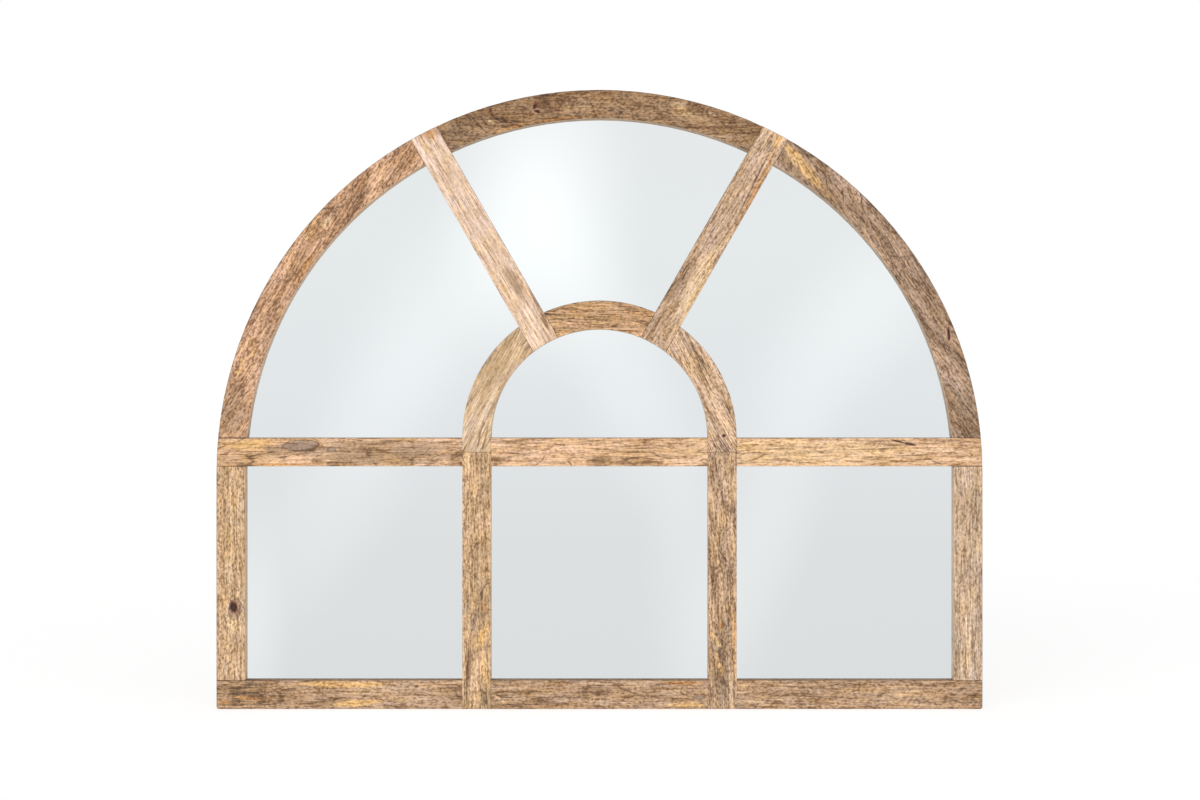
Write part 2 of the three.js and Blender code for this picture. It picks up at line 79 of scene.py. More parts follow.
face_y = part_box("transom")[0].y
eye = bpy.data.objects.new("eye", bpy.data.cameras.new("eye"))
eye.data.sensor_width = SENSOR
eye.data.lens = LENS
eye.location = (EYE_RIGHT, face_y - EYE_DISTANCE, EYE_HEIGHT)
eye.rotation_euler = (math.pi / 2, 0, 0)
scene.collection.objects.link(eye)
scene.camera = eye

# ----------------------------------------------------------------- fourteen sawn boards
# Solid mango wood, 28 mm thick round the outside and half that within, sawn and planed to
# bars 45 mm wide and halved together. Each arris is rubbed down by hand, and the faces keep
# the faint hollows of the planing.
MM = 0.001
WELD = 2e-6
ARRIS = 1.3 * MM           # width of an eased edge
ARRIS_STEPS = 3
JOINT_EASE = 0.25          # share of that on an edge that meets another board
JOINT_REACH = 0.8 * MM     # boards nearer than this are jointed
FACE_BAND = 4 * MM         # the planing fades in over this distance from a joint
PAINTED_SHADE_LOW = 0.5             # painted shade on a side that looks up, as a share of that on an outer arris
PAINTED_SHADE_HIGH = 1.2            # the same above the springing of the arch
OUTER_REACH = 2 * MM       # points nearer than this to the outline are on its outer arris
SCREW_CLEAR = 4 * MM       # edges nearer than this to a hanger screw are its pilot hole's
GRID_ALONG = 9 * MM
GRID_ACROSS = 6 * MM
HOLLOW = 0.16 * MM         # depth of the planing's hollows
HOLLOW_LENGTH = 38 * MM
HOLLOW_WIDTH = 11 * MM
SHARP = math.radians(38)
FLAT_WITHIN = math.radians(0.4)    # facets nearer than this to level are one face
SQUARE_OVER = math.radians(60)     # edges sharper than this are arrises
PAST_ARRIS = 0.2           # share of an arris's width beyond which a side begins
LOOKS_UP = 0.4             # height of its normal above which a side looks up

glass_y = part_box("pane_lower_middle")[0].y
BOARDS = (
    "bottom_rail", "transom", "stile_left", "stile_right", "mullion_left", "mullion_right",
    "rim_left", "rim_top", "rim_right", "inner_arch_left", "inner_arch_top",
    "inner_arch_right", "radial_bar_left", "radial_bar_right",
)


def srgb(code):
    """A hex colour as linear red, green, blue and alpha."""
    parts = [int(code[i:i + 2], 16) / 255 for i in (0, 2, 4)]
    linear = [p / 12.92 if p <= 0.04045 else ((p + 0.055) / 1.055) ** 2.4 for p in parts]
    return (*linear, 1.0)


def add(tree, kind, links=None, **settings):
    """One more node, with its settings, and each input set to a value or linked to a socket."""
    made = tree.nodes.new(kind)
    for key, value in settings.items():
        setattr(made, key, value)
    for key, value in (links or {}).items():
        if isinstance(value, bpy.types.NodeSocket):
            tree.links.new(value, made.inputs[key])
        else:
            made.inputs[key].default_value = value
    return made


def calc(tree, operation, *terms, kind="ShaderNodeMath"):
    """What a math node makes of its terms, each a value or a socket."""
    return add(tree, kind, dict(enumerate(terms)), operation=operation).outputs[0]


def vector_calc(tree, operation, *terms):
    """The same for vectors."""
    return calc(tree, operation, *terms, kind="ShaderNodeVectorMath")


def new_group(name, kind, inputs, outputs):
    """A node group with named inputs, given as name: (socket type, value), and named outputs."""
    tree = bpy.data.node_groups.new(name, kind)
    for label, (socket, value) in inputs.items():
        made = tree.interface.new_socket(label, in_out="INPUT", socket_type=socket)
        if value is not None:
            made.default_value = value
    for label, socket in outputs.items():
        tree.interface.new_socket(label, in_out="OUTPUT", socket_type=socket)
    return tree


def new_object(name, mesh):
    """An object at the origin, linked to the scene."""
    made = bpy.data.objects.new(name, mesh)
    scene.collection.objects.link(made)
    return made


def smooth_mesh(body, name, sharp):
    """A body as a mesh, shaded smooth but for the edges sharper than an angle."""
    for face in body.faces:
        face.smooth = True
    mesh = bpy.data.meshes.new(name)
    body.to_mesh(mesh)
    body.free()
    mesh.set_sharp_from_angle(angle=sharp)
    return mesh


def settle(maker, name):
    """A modifier stack's result as a plain mesh object of its own."""
    bpy.context.view_layer.update()
    seen = maker.evaluated_get(bpy.context.evaluated_depsgraph_get())
    mesh = bpy.data.meshes.new_from_object(seen)
    mesh.name = name
    bpy.data.objects.remove(maker)
    return new_object(name, mesh)


def node_modifier(piece, tree, values):
    """Geometry Nodes on a piece, its inputs set by their sockets' identifiers."""
    made = piece.modifiers.new(tree.name, "NODES")
    made.node_group = tree
    for label, value in values.items():
        made[tree.interface.items_tree[label].identifier] = value


def welded(name):
    """A CAD node's mesh as one body, with its flat faces made whole again."""
    body = bmesh.new()
    body.from_mesh(frame["nodes"][name].data)
    bmesh.ops.remove_doubles(body, verts=body.verts, dist=WELD)
    bmesh.ops.dissolve_limit(body, angle_limit=FLAT_WITHIN, verts=body.verts, edges=body.edges)
    return body


def grain_line(name):
    """Middle of a board's face and the turn of its length from +X, in the window's plane."""
    low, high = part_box(name)
    centre = (low + high) / 2
    xx = zz = xz = total = 0
    for face in frame["nodes"][name].data.polygons:
        away = face.center - centre
        xx += face.area * away.x * away.x
        zz += face.area * away.z * away.z
        xz += face.area * away.x * away.z
        total += face.area
    return centre, 0.5 * math.atan2(2 * xz, xx - zz)


board_trees = {name: welded(name) for name in BOARDS}
pilot_places = [
    (sum(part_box(name), Vector()) / 2).xz
    for name in frame["nodes"] if name.startswith("hanger_screw")
]


def neighbours_of(name):
    """A search tree of all the other boards."""
    points = []
    faces = []
    for other in BOARDS:
        if other != name:
            start = len(points)
            points += [v.co for v in frame["nodes"][other].data.vertices]
            faces += [[start + i for i in p.vertices] for p in frame["nodes"][other].data.polygons]
    return BVHTree.FromPolygons(points, faces)


def eased_board(name, near):
    """The board with its arrises rubbed down, and less where boards meet.

    The lattice's back edges, shut in by the back board, stay square.
    """
    body = board_trees[name]
    low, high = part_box(name)
    open_back = high.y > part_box("back_board")[0].y
    weights = body.edges.layers.float.new("bevel_weight_edge")
    for edge in body.edges:
        ends = [v.co for v in edge.verts]
        front = all(abs(p.y - low.y) < WELD for p in ends)
        back = open_back and all(abs(p.y - high.y) < WELD for p in ends)
        middle = (ends[0] + ends[1]) / 2
        pilot = any((middle.xz - place).length < SCREW_CLEAR for place in pilot_places)
        square = len(edge.link_faces) == 2 and edge.calc_face_angle() > SQUARE_OVER
        if square and (front or back and not pilot):
            jointed = near.find_nearest(middle, JOINT_REACH)[0] is not None
            edge[weights] = JOINT_EASE if jointed else 1
    mesh = bpy.data.meshes.new(name)
    body.to_mesh(mesh)
    body.free()
    maker = new_object(name + ".maker", mesh)
    bevel = maker.modifiers.new("arris", "BEVEL")
    bevel.limit_method = "WEIGHT"
    bevel.width = ARRIS
    bevel.segments = ARRIS_STEPS
    bevel.use_clamp_overlap = False
    return settle(maker, name + ".eased")


def gridded(piece, centre, turn):
    """Cuts a board's faces into a grid along its grain, fine enough to carve."""
    body = bmesh.new()
    body.from_mesh(piece.data)
    along = Vector((math.cos(turn), 0, math.sin(turn)))
    across = Vector((-along.z, 0, along.x))
    for axis, step in ((along, GRID_ALONG), (across, GRID_ACROSS), (Vector((0, 1, 0)), GRID_ACROSS)):
        reach = max(abs((v.co - centre).dot(axis)) for v in body.verts)
        count = int(reach / step)
        for k in range(-count, count + 1):
            bmesh.ops.bisect_plane(
                body, geom=body.verts[:] + body.edges[:] + body.faces[:], dist=WELD,
                plane_co=centre + axis * step * (k + 0.5), plane_no=axis,
            )
    bmesh.ops.recalc_face_normals(body, faces=body.faces)
    if body.calc_volume(signed=True) < 0:
        bmesh.ops.reverse_faces(body, faces=body.faces)
    return body


def mark_edges(body, near):
    """Stores how open the front is, away from the joints, and where shade and light are painted.

    The outer arrises and the upward sides beside the glass get painted shade, more above
    the springing of the arch. The other sides beside the glass get painted light, paler.
    """
    open_face = body.verts.layers.float.new("open_face")
    painted_shade = body.verts.layers.float.new("painted_shade")
    painted_light = body.verts.layers.float.new("painted_light")
    half = cad_box[1][0]
    spring = cad_box[1][2] - half
    body.normal_update()
    for v in body.verts:
        found = near.find_nearest(v.co, FACE_BAND)[3]
        share = 1 if found is None else found / FACE_BAND
        round_way = (v.co.y - face_y) / ARRIS
        v[open_face] = max(0, 1 - round_way) * share * share * (3 - 2 * share)
        out = math.hypot(v.co.x, max(0, v.co.z - spring))
        outside = out > half - OUTER_REACH or v.co.z < OUTER_REACH
        beside_glass = round_way > PAST_ARRIS and v.co.y < glass_y
        # Painted shade on the outer arris and on the upward sides beside the glass, painted light on the
        # other sides beside the glass.
        if outside:
            v[painted_shade] = max(0, 4 * round_way * (1 - round_way))
        elif beside_glass and v.normal.z > LOOKS_UP:
            v[painted_shade] = PAINTED_SHADE_HIGH if v.co.z > spring else PAINTED_SHADE_LOW
        elif beside_glass:
            v[painted_light] = 1


# The planing: shallow hollows in the front, longer along the grain, cut straight back into
# the wood and never out of it.
planing = new_group(
    "planed by hand", "GeometryNodeTree",
    {
        "Geometry": ("NodeSocketGeometry", None),
        "Grain Turn": ("NodeSocketFloat", 0.0),
        "Hollow Depth": ("NodeSocketFloat", HOLLOW),
        "Hollow Length": ("NodeSocketFloat", HOLLOW_LENGTH),
        "Hollow Width": ("NodeSocketFloat", HOLLOW_WIDTH),
        "Seed": ("NodeSocketFloat", 0.0),
        "Material": ("NodeSocketMaterial", None),
    },
    {"Geometry": "NodeSocketGeometry"},
)
given = add(planing, "NodeGroupInput").outputs
finer = add(planing, "GeometryNodeSubdivideMesh", {"Mesh": given["Geometry"], "Level": 1})
turned = add(planing, "ShaderNodeVectorRotate", {
    "Vector": add(planing, "GeometryNodeInputPosition").outputs[0],
    "Angle": given["Grain Turn"],
}, rotation_type="Y_AXIS")
hollow_size = add(planing, "ShaderNodeCombineXYZ", {
    "X": given["Hollow Length"], "Y": given["Hollow Width"], "Z": given["Hollow Width"],
})
hollow_place = vector_calc(planing, "DIVIDE", turned.outputs[0], hollow_size.outputs[0])
hollows = add(planing, "ShaderNodeTexNoise", {
    "Vector": hollow_place, "W": given["Seed"], "Scale": 1.0, "Detail": 1.0,
}, noise_dimensions="4D")
open_share = add(planing, "GeometryNodeInputNamedAttribute", {"Name": "open_face"}, data_type="FLOAT")
depth = calc(planing, "MULTIPLY", hollows.outputs[0], open_share.outputs[0])
sunk = calc(planing, "MULTIPLY", depth, given["Hollow Depth"])
shift = add(planing, "ShaderNodeCombineXYZ", {"Y": sunk})
carved = add(planing, "GeometryNodeSetPosition", {"Geometry": finer.outputs[0], "Offset": shift.outputs[0]})
real = add(planing, "GeometryNodeRealizeInstances", {"Geometry": carved.outputs[0]})
dressed = add(planing, "GeometryNodeSetMaterial", {
    "Geometry": real.outputs[0], "Material": given["Material"],
})
add(planing, "NodeGroupOutput", {"Geometry": dressed.outputs[0]})

# The grain: growth zones round a pith that lies behind or beside the board, fibres, dark
# pores and the fine fleck of interlocked wood, all in millimetres, X along the grain. The
# fleck and the fibres are drawn 2 to 3 mm wide, coarser than the real ones, to show.
FIBRE = (36, 2.5, 2.2)
FLECK = (5.0, 3.0, 2.7)
PORE = (13, 2.0, 1.8)
CLOUD = (85, 40, 26)
DRIFT = (150, 60, 50)
STREAK = (30, 3.2, 3.0)    # what breaks up a mark's outline
BLUSH = (34, 9, 8)         # patches of golden and of greyer wood
ZONE = (1.0, 240, 1)       # growth zones, in rings and along the grain
CONTOUR = (0.62, 110, 1)
LINE_REACH = 0.035         # how near a contour the dark line reaches
PORE_EDGES = (0.6, 0.7)
DRIFT_BY = (0, 26, 30)     # how far the pith wanders
WOBBLE = (16, 4, 4)        # what frays a mark, and by how much
WOBBLE_BY = (26, 5, 5)
NUDGE = (6, 5, 5)          # what makes a firm mark's outline uneven
NUDGE_BY = (5, 4, 4)
grain = new_group(
    "mango grain", "ShaderNodeTree",
    {
        "Vector": ("NodeSocketVector", None),
        "Seed": ("NodeSocketFloat", 0.0),
        "Ring": ("NodeSocketFloat", 7.0),
        "Pith Across": ("NodeSocketFloat", 20.0),
        "Pith Depth": ("NodeSocketFloat", 60.0),
        "Tilt": ("NodeSocketFloat", 0.06),
        "Zones": ("NodeSocketFloat", 1.0),
        "Lines": ("NodeSocketFloat", 0.3),
        "Fleck": ("NodeSocketFloat", 1.0),
    },
    {"Tone": "NodeSocketFloat", "Fine": "NodeSocketFloat", "Blush": "NodeSocketFloat",
     "Streak": "NodeSocketFloat", "Height": "NodeSocketFloat", "Wobbled": "NodeSocketVector",
     "Nudged": "NodeSocketVector"},
)
given = add(grain, "NodeGroupInput").outputs


def grain_noise(place, size, detail, offset=0.0, roughness=0.55):
    """Noise over a place in millimetres, with a feature size in each direction."""
    return add(grain, "ShaderNodeTexNoise", {
        "Vector": vector_calc(grain, "DIVIDE", place, size),
        "W": calc(grain, "ADD", given["Seed"], offset),
        "Scale": 1.0, "Detail": detail, "Roughness": roughness,
    }, noise_dimensions="4D")


def sums(tree, *terms):
    """Adds values, each times its weight."""
    total = 0.0
    for value, weight in terms:
        total = calc(tree, "MULTIPLY_ADD", value, weight, total)
    return total


def centred(tree, value):
    """A value between nought and one, moved to lie round nought."""
    return calc(tree, "SUBTRACT", value, 0.5)


def shaken(size, amount, offset):
    """The board's place, moved about by noise, as far one way as the other."""
    noise = grain_noise(given["Vector"], size, 2.0, offset).outputs["Color"]
    moved = vector_calc(grain, "MULTIPLY_ADD", noise, amount, given["Vector"])
    return vector_calc(grain, "SUBTRACT", moved, tuple(reach / 2 for reach in amount))


drift = grain_noise(given["Vector"], DRIFT, 2.0, 3.0)
drifted = vector_calc(grain, "MULTIPLY_ADD", drift.outputs["Color"], DRIFT_BY, given["Vector"])
place = add(grain, "ShaderNodeSeparateXYZ", {0: drifted}).outputs
sideways = sums(grain, (place["Z"], 1.0), (given["Pith Across"], -1.0))
backways = sums(grain, (place["Y"], 1.0), (given["Pith Depth"], -1.0))
backways = calc(grain, "MULTIPLY_ADD", place["X"], given["Tilt"], backways)
from_pith = add(grain, "ShaderNodeCombineXYZ", {"Y": backways, "Z": sideways})
radius = add(grain, "ShaderNodeVectorMath", {0: from_pith.outputs[0]}, operation="LENGTH").outputs["Value"]
ring = calc(grain, "DIVIDE", radius, given["Ring"])
ring_place = add(grain, "ShaderNodeCombineXYZ", {"X": ring, "Y": place["X"]}).outputs[0]
zones = grain_noise(ring_place, ZONE, 2.0, 11.0)
contours = grain_noise(ring_place, CONTOUR, 1.0, 17.0)
fibres = grain_noise(given["Vector"], FIBRE, 2.0, 23.0)
flecks = grain_noise(given["Vector"], FLECK, 2.0, 29.0)
pores = grain_noise(given["Vector"], PORE, 1.0, 31.0)
cloud = grain_noise(given["Vector"], CLOUD, 1.0, 37.0)
ridge = calc(grain, "ABSOLUTE", centred(grain, contours.outputs[0]))
line = add(grain, "ShaderNodeMapRange", {
    "Value": ridge, "From Min": 0.0, "From Max": LINE_REACH, "To Min": 1.0, "To Max": 0.0,
}).outputs[0]
line = calc(grain, "MULTIPLY", line, given["Lines"])
pore = add(grain, "ShaderNodeMapRange", {
    "Value": pores.outputs[0], "From Min": PORE_EDGES[0], "From Max": PORE_EDGES[1],
}).outputs[0]
zone_part = calc(grain, "MULTIPLY", centred(grain, zones.outputs[0]), given["Zones"])
fleck_part = calc(grain, "MULTIPLY", centred(grain, flecks.outputs[0]), given["Fleck"])
tone = sums(
    grain, (0.5, 1.0), (zone_part, 1.5), (centred(grain, fibres.outputs[0]), 0.7),
    (centred(grain, cloud.outputs[0]), 0.6), (line, -0.5),
)
fine = sums(
    grain, (0.5, 1.0), (fleck_part, 2.2), (centred(grain, fibres.outputs[0]), 1.25), (pore, -0.25),
    (line, -0.45),
)
height = sums(
    grain, (centred(grain, fibres.outputs[0]), 0.6), (zone_part, 0.3), (line, -0.4), (pore, -0.8),
)
streak = grain_noise(given["Vector"], STREAK, 2.0, 43.0)
blush = grain_noise(given["Vector"], BLUSH, 2.0, 47.0)
add(grain, "NodeGroupOutput", {
    "Tone": tone, "Fine": fine, "Blush": blush.outputs[0], "Streak": streak.outputs[0],
    "Height": height, "Wobbled": shaken(WOBBLE, WOBBLE_BY, 41.0),
    "Nudged": shaken(NUDGE, NUDGE_BY, 53.0),
})

# A mark in the wood: one soft-edged oval, frayed along the fibres, which dies away into the
# board's thickness.
mark = new_group(
    "wood mark", "ShaderNodeTree",
    {
        "Vector": ("NodeSocketVector", None),
        "Centre": ("NodeSocketVector", None),
        "Turn": ("NodeSocketFloat", 0.0),
        "Half Size": ("NodeSocketVector", None),
        "Blur": ("NodeSocketFloat", 0.5),
        "Strength": ("NodeSocketFloat", 1.0),
    },
    {"Mask": "NodeSocketFloat"},
)
given = add(mark, "NodeGroupInput").outputs
lined_up = add(mark, "ShaderNodeVectorRotate", {
    "Vector": vector_calc(mark, "SUBTRACT", given["Vector"], given["Centre"]), "Angle": given["Turn"],
}, rotation_type="Y_AXIS")
share = vector_calc(mark, "DIVIDE", lined_up.outputs[0], given["Half Size"])
reach = add(mark, "ShaderNodeVectorMath", {0: share}, operation="LENGTH").outputs["Value"]
inside = add(mark, "ShaderNodeMapRange", {
    "Value": reach, "From Min": calc(mark, "SUBTRACT", 1.0, given["Blur"]),
    "From Max": calc(mark, "ADD", 1.0, given["Blur"]), "To Min": given["Strength"], "To Max": 0.0,
}, interpolation_type="SMOOTHSTEP").outputs[0]
add(mark, "NodeGroupOutput", {"Mask": inside})


def marked(tree, place, centre, turn, size, blur, strength=1.0):
    """How far each place lies inside one mark."""
    spot = tree.nodes.new("ShaderNodeGroup")
    spot.node_tree = mark
    tree.links.new(place, spot.inputs["Vector"])
    for label, value in (
        ("Centre", centre), ("Turn", turn), ("Half Size", tuple(part / 2 for part in size)),
        ("Blur", blur), ("Strength", strength),
    ):
        spot.inputs[label].default_value = value
    return spot.outputs[0]



# What marks the wood: colour, softness of the edge, strength, and how far it is frayed.
MARKS = {
    "crack": ("452a1a", 0.7, 0.8, 0.3),
    "knot": ("2e150d", 0.35, 0.97, 0.3),
    "gash": ("4f2722", 0.5, 0.95, 0.3),
    "dark": ("6d4a2e", 0.6, 0.7, 1.2),
    "purple": ("9b8270", 0.1, 0.85, 0.3),
    "grey": ("8f755c", 0.8, 0.55, 1.6),
    "gold": ("e9bb7c", 0.5, 0.75, 2.4),
    "orange": ("cf9352", 0.5, 0.7, 2.4),
    "pale": ("f0cda0", 0.8, 0.55, 1.8),
}
OUTLINES = {"purple": ("6a4628", 0.9), "knot": ("8f4a2c", 0.8)}   # a darker or redder ring
CUT_IN = ("crack", "knot", "gash")    # marks that are also dents
MARK_DEPTH = 15            # how deep a mark goes into the board, in mm
CUT_DEPTH = 0.8            # how deep a dent is, beside the height of the grain
STREAK_GAIN = 3.2          # how sharply the streaks cut a frayed mark
NUDGE_BELOW = 1.0          # marks frayed less than this keep their shape
DARKEST = 0.5              # how far the ramp goes below the dark tone and above the light
LIGHTEST = 1.15
# Painted shade: the colour laid on the outer arrises and on the upward sides beside the glass.
PAINTED_SHADE_COLOUR = "553d2b"
PAINTED_SHADE_STRENGTH = 0.83                # strength of that painted shade on an outer arris; an upward side takes its own share of it
# Painted light: the paler colour laid on the sides beside the glass that don't look up.
PAINTED_LIGHT_COLOUR = "f2dcc2"
PAINTED_LIGHT_STRENGTH = 0.5            # how far a side beside the glass takes this painted light colour
# What the fine figure and the blush multiply the colour by, as linear red, green, blue.
FINE_SHADES = (
    (0.12, (0.50, 0.41, 0.32)), (0.38, (0.93, 0.90, 0.83)), (0.6, (1.19, 1.19, 1.15)),
    (0.85, (1.50, 1.50, 1.44)),
)
BLUSH_SHADES = ((0.3, (1.05, 1.0, 0.84)), (0.5, (1.0, 1.0, 1.0)), (0.7, (0.95, 0.99, 1.12)))


def toned(code, factor):
    """A hex colour as linear, made lighter or darker."""
    return (*[min(1, c * factor) for c in srgb(code)[:3]], 1.0)


def new_finish(title):
    """An empty material, its node tree, and the place on the object."""
    finish = bpy.data.materials.new(title)
    finish.use_nodes = True
    tree = finish.node_tree
    tree.nodes.clear()
    return finish, tree, add(tree, "ShaderNodeTexCoord").outputs["Object"]


def ramped(tree, value, stops):
    """A value's colour on a ramp, whose stops are given as position and linear colour."""
    ramp = add(tree, "ShaderNodeValToRGB", {"Fac": value})
    while len(ramp.color_ramp.elements) < len(stops):
        ramp.color_ramp.elements.new(0.5)
    for element, (position, colour) in zip(ramp.color_ramp.elements, stops):
        element.position = position
        element.color = colour
    return ramp.outputs[0]


def mixed(tree, share, first, second, **settings):
    """Two colours mixed by a share of the second."""
    made = add(tree, "ShaderNodeMix", {
        "Factor": share, 6: first, 7: second,
    }, data_type="RGBA", **settings)
    return made.outputs[2]


def waxed_mango(name, centre, turn, tones, figure, marks):
    """Planed and waxed mango wood: soft sheen, brown zones and lines, open dark pores."""
    finish, tree, here = new_finish("planed and waxed mango wood, " + name.replace("_", " "))
    local = add(tree, "ShaderNodeMapping", {
        "Vector": here, "Location": centre, "Rotation": (0, -turn, 0), "Scale": (MM, MM, MM),
    }, vector_type="TEXTURE").outputs[0]
    wood = tree.nodes.new("ShaderNodeGroup")
    wood.node_tree = grain
    tree.links.new(local, wood.inputs["Vector"])
    for label, value in figure.items():
        wood.inputs[label].default_value = value
    dark, middle, light = tones
    colour = ramped(tree, wood.outputs["Tone"], (
        (0.0, toned(dark, DARKEST)), (0.25, toned(dark, 1.0)), (0.5, toned(middle, 1.0)),
        (0.75, toned(light, 1.0)), (1.0, toned(light, LIGHTEST)),
    ))
    dent = wood.outputs["Height"]
    streaks = centred(tree, wood.outputs["Streak"])
    for kind, x, z, length, width, mark_turn in marks:
        shade, blur, strength, fray = MARKS[kind]
        away = Vector((x * MM - centre[0], z * MM - centre[2])) / MM
        middle = (
            away.x * math.cos(turn) + away.y * math.sin(turn),
            (face_y - centre[1]) / MM,
            -away.x * math.sin(turn) + away.y * math.cos(turn),
        )
        spot = marked(
            tree, wood.outputs["Wobbled" if fray > NUDGE_BELOW else "Nudged"], middle,
            math.radians(mark_turn) - turn, (length, 2 * MARK_DEPTH, width), blur,
        )
        frayed = sums(tree, (spot, 1.0 + fray), (streaks, STREAK_GAIN * fray), (fray, -0.5))
        held = calc(tree, "MULTIPLY", add(tree, "ShaderNodeClamp", {"Value": frayed}).outputs[0], spot)
        colour = mixed(tree, calc(tree, "MULTIPLY", held, strength), colour, srgb(shade))
        if kind in OUTLINES:
            ring_shade, ring_strength = OUTLINES[kind]
            ridge = calc(tree, "ABSOLUTE", calc(tree, "MULTIPLY_ADD", spot, 2.0, -1.0))
            ring = calc(tree, "MULTIPLY_ADD", ridge, -ring_strength, ring_strength)
            colour = mixed(tree, ring, colour, srgb(ring_shade))
        if kind in CUT_IN:
            dent = sums(tree, (dent, 1.0), (spot, -CUT_DEPTH))
    for label, shades in (("Fine", FINE_SHADES), ("Blush", BLUSH_SHADES)):
        shading = ramped(tree, wood.outputs[label], [(at, (*shade, 1)) for at, shade in shades])
        colour = mixed(tree, 1.0, colour, shading, blend_type="MULTIPLY")
    # Painted shade on the outer arrises and upward sides, painted light on the other sides beside the
    # glass.
    for attribute, shade, strength in (
        ("painted_shade", PAINTED_SHADE_COLOUR, PAINTED_SHADE_STRENGTH), ("painted_light", PAINTED_LIGHT_COLOUR, PAINTED_LIGHT_STRENGTH),
    ):
        painted_share = add(tree, "ShaderNodeAttribute", attribute_name=attribute).outputs["Fac"]
        colour = mixed(tree, calc(tree, "MULTIPLY", painted_share, strength), colour, srgb(shade))
    bump = add(tree, "ShaderNodeBump", {"Height": dent, "Strength": 0.5, "Distance": 0.35 * MM})
    rough = add(tree, "ShaderNodeMapRange", {
        "Value": wood.outputs["Tone"], "To Min": 0.66, "To Max": 0.5,
    })
    shader = add(tree, "ShaderNodeBsdfPrincipled", {
        "Base Color": colour, "Roughness": rough.outputs[0], "Normal": bump.outputs[0],
        "IOR": 1.48, "Coat Weight": 0.06, "Coat Roughness": 0.4,
    })
    add(tree, "ShaderNodeOutputMaterial", {"Surface": shader.outputs[0]})
    return finish


def board(name, tones, figure, marks=()):
    """One board of the window, worked, finished and put in its CAD node's place."""
    near = neighbours_of(name)
    centre, turn = grain_line(name)
    centre.y = 0
    finish = waxed_mango(name, centre, turn, tones, figure, marks)
    eased = eased_board(name, near)
    body = gridded(eased, centre, turn)
    bpy.data.objects.remove(eased)
    mark_edges(body, near)
    maker = new_object(name + ".maker", smooth_mesh(body, name, SHARP))
    node_modifier(maker, planing, {
        "Grain Turn": turn, "Hollow Depth": HOLLOW, "Hollow Length": HOLLOW_LENGTH,
        "Hollow Width": HOLLOW_WIDTH, "Seed": figure["Seed"], "Material": finish,
    })
    level = maker.modifiers.new("level normals", "WEIGHTED_NORMAL")
    level.keep_sharp = True
    piece = settle(maker, "board_" + name)
    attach(piece, "frame")
    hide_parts(name)


def figure(seed, ring=7.0, across=20.0, depth=60.0, tilt=0.06, zones=1.0, lines=0.3, fleck=1.0):
    """How a board was cut from its log, and how strong its zones, lines and fleck are."""
    return {
        "Seed": seed, "Ring": ring, "Pith Across": across, "Pith Depth": depth, "Tilt": tilt,
        "Zones": zones, "Lines": lines, "Fleck": fleck,
    }


# ------------------------------------------------------------------------ the outer arch
# Three curved boards, sawn from wide planks, so their grain runs straight along the chord
# and out through the curve. The darkest wood of the window, knotty at the top. Each mark
# gives its kind, its middle's x and z, its length and width, and its turn in degrees.
board(
    "rim_left", ("b28866", "c89e7d", "ddb191"),
    figure(1.0, 9, 30, 70, 0.05, lines=0.35, fleck=1.2),
    (
        ("pale", -427, 764, 26, 16, 60), ("crack", -428, 784, 24, 2, 0),
        ("crack", -409, 786, 18, 2, 14), ("gold", -451, 753, 48, 5, 66),
        ("crack", -457, 752, 42, 1.6, 66), ("orange", -456, 700, 34, 7, 57),
        ("orange", -552, 605, 44, 6, 74), ("crack", -544, 621, 24, 2, 60),
        ("gold", -547, 576, 13, 6, 60), ("gold", -539, 560, 16, 7, 60),
        ("gold", -560, 546, 12, 6, 60), ("gold", -564, 529, 15, 6, 70),
        ("grey", -576, 462, 80, 40, 80),
    ),
)
board(
    "rim_top", ("8d6947", "9e7c5b", "ad8c6c"),
    figure(2.0, 11, 40, 45, 0.12, lines=0.45, fleck=1.2),
    (
        ("grey", -216, 905, 64, 40, 30), ("crack", -191, 917, 40, 2.2, -47),
        ("crack", -181, 921, 34, 1.8, -47), ("pale", -170, 921, 14, 7, -40),
        ("dark", -146, 949, 14, 4, 0), ("dark", -118, 943, 24, 4, -20),
        ("knot", -101, 945, 10, 7, 60), ("knot", -97, 936, 10, 5, -30),
        ("dark", -87, 961, 14, 4, 0), ("dark", -88, 944, 34, 20, -35),
        ("orange", -135, 911, 60, 5, 15), ("orange", -62, 924, 60, 4, 7),
        ("crack", 19, 938, 7, 4, 0), ("crack", 33, 935, 8, 4, 0),
        ("dark", 58, 947, 20, 9, -10), ("pale", 124, 942, 40, 20, -14),
        ("dark", 175, 931, 24, 16, -50), ("pale", 176, 931, 15, 8, -50),
        ("crack", 195, 915, 16, 3, -40), ("dark", 206, 920, 12, 8, -40),
    ),
)
board(
    "rim_right", ("95775e", "ab8d75", "c0a08a"),
    figure(3.0, 10, 26, 60, 0.07, lines=0.5, fleck=1.1),
    (
        ("gold", 321, 848, 100, 20, -50), ("crack", 314, 878, 46, 2, -45),
        ("crack", 345, 845, 30, 2, -41), ("crack", 356, 824, 25, 2, -83),
        ("crack", 378, 835, 22, 2, -66), ("crack", 381, 807, 34, 2, -85),
        ("crack", 410, 800, 33, 2, -81), ("dark", 431, 790, 14, 7, -55),
        ("dark", 434, 752, 24, 4, -60), ("crack", 458, 710, 28, 2, -12),
        ("crack", 477, 698, 20, 2, -63), ("crack", 493, 673, 38, 2.4, -52),
        ("crack", 516, 646, 32, 2, -48), ("orange", 554, 609, 16, 3, -75),
        ("knot", 547, 587, 21, 5, -88), ("grey", 560, 549, 24, 14, -80),
        ("grey", 574, 470, 80, 36, -85),
    ),
)

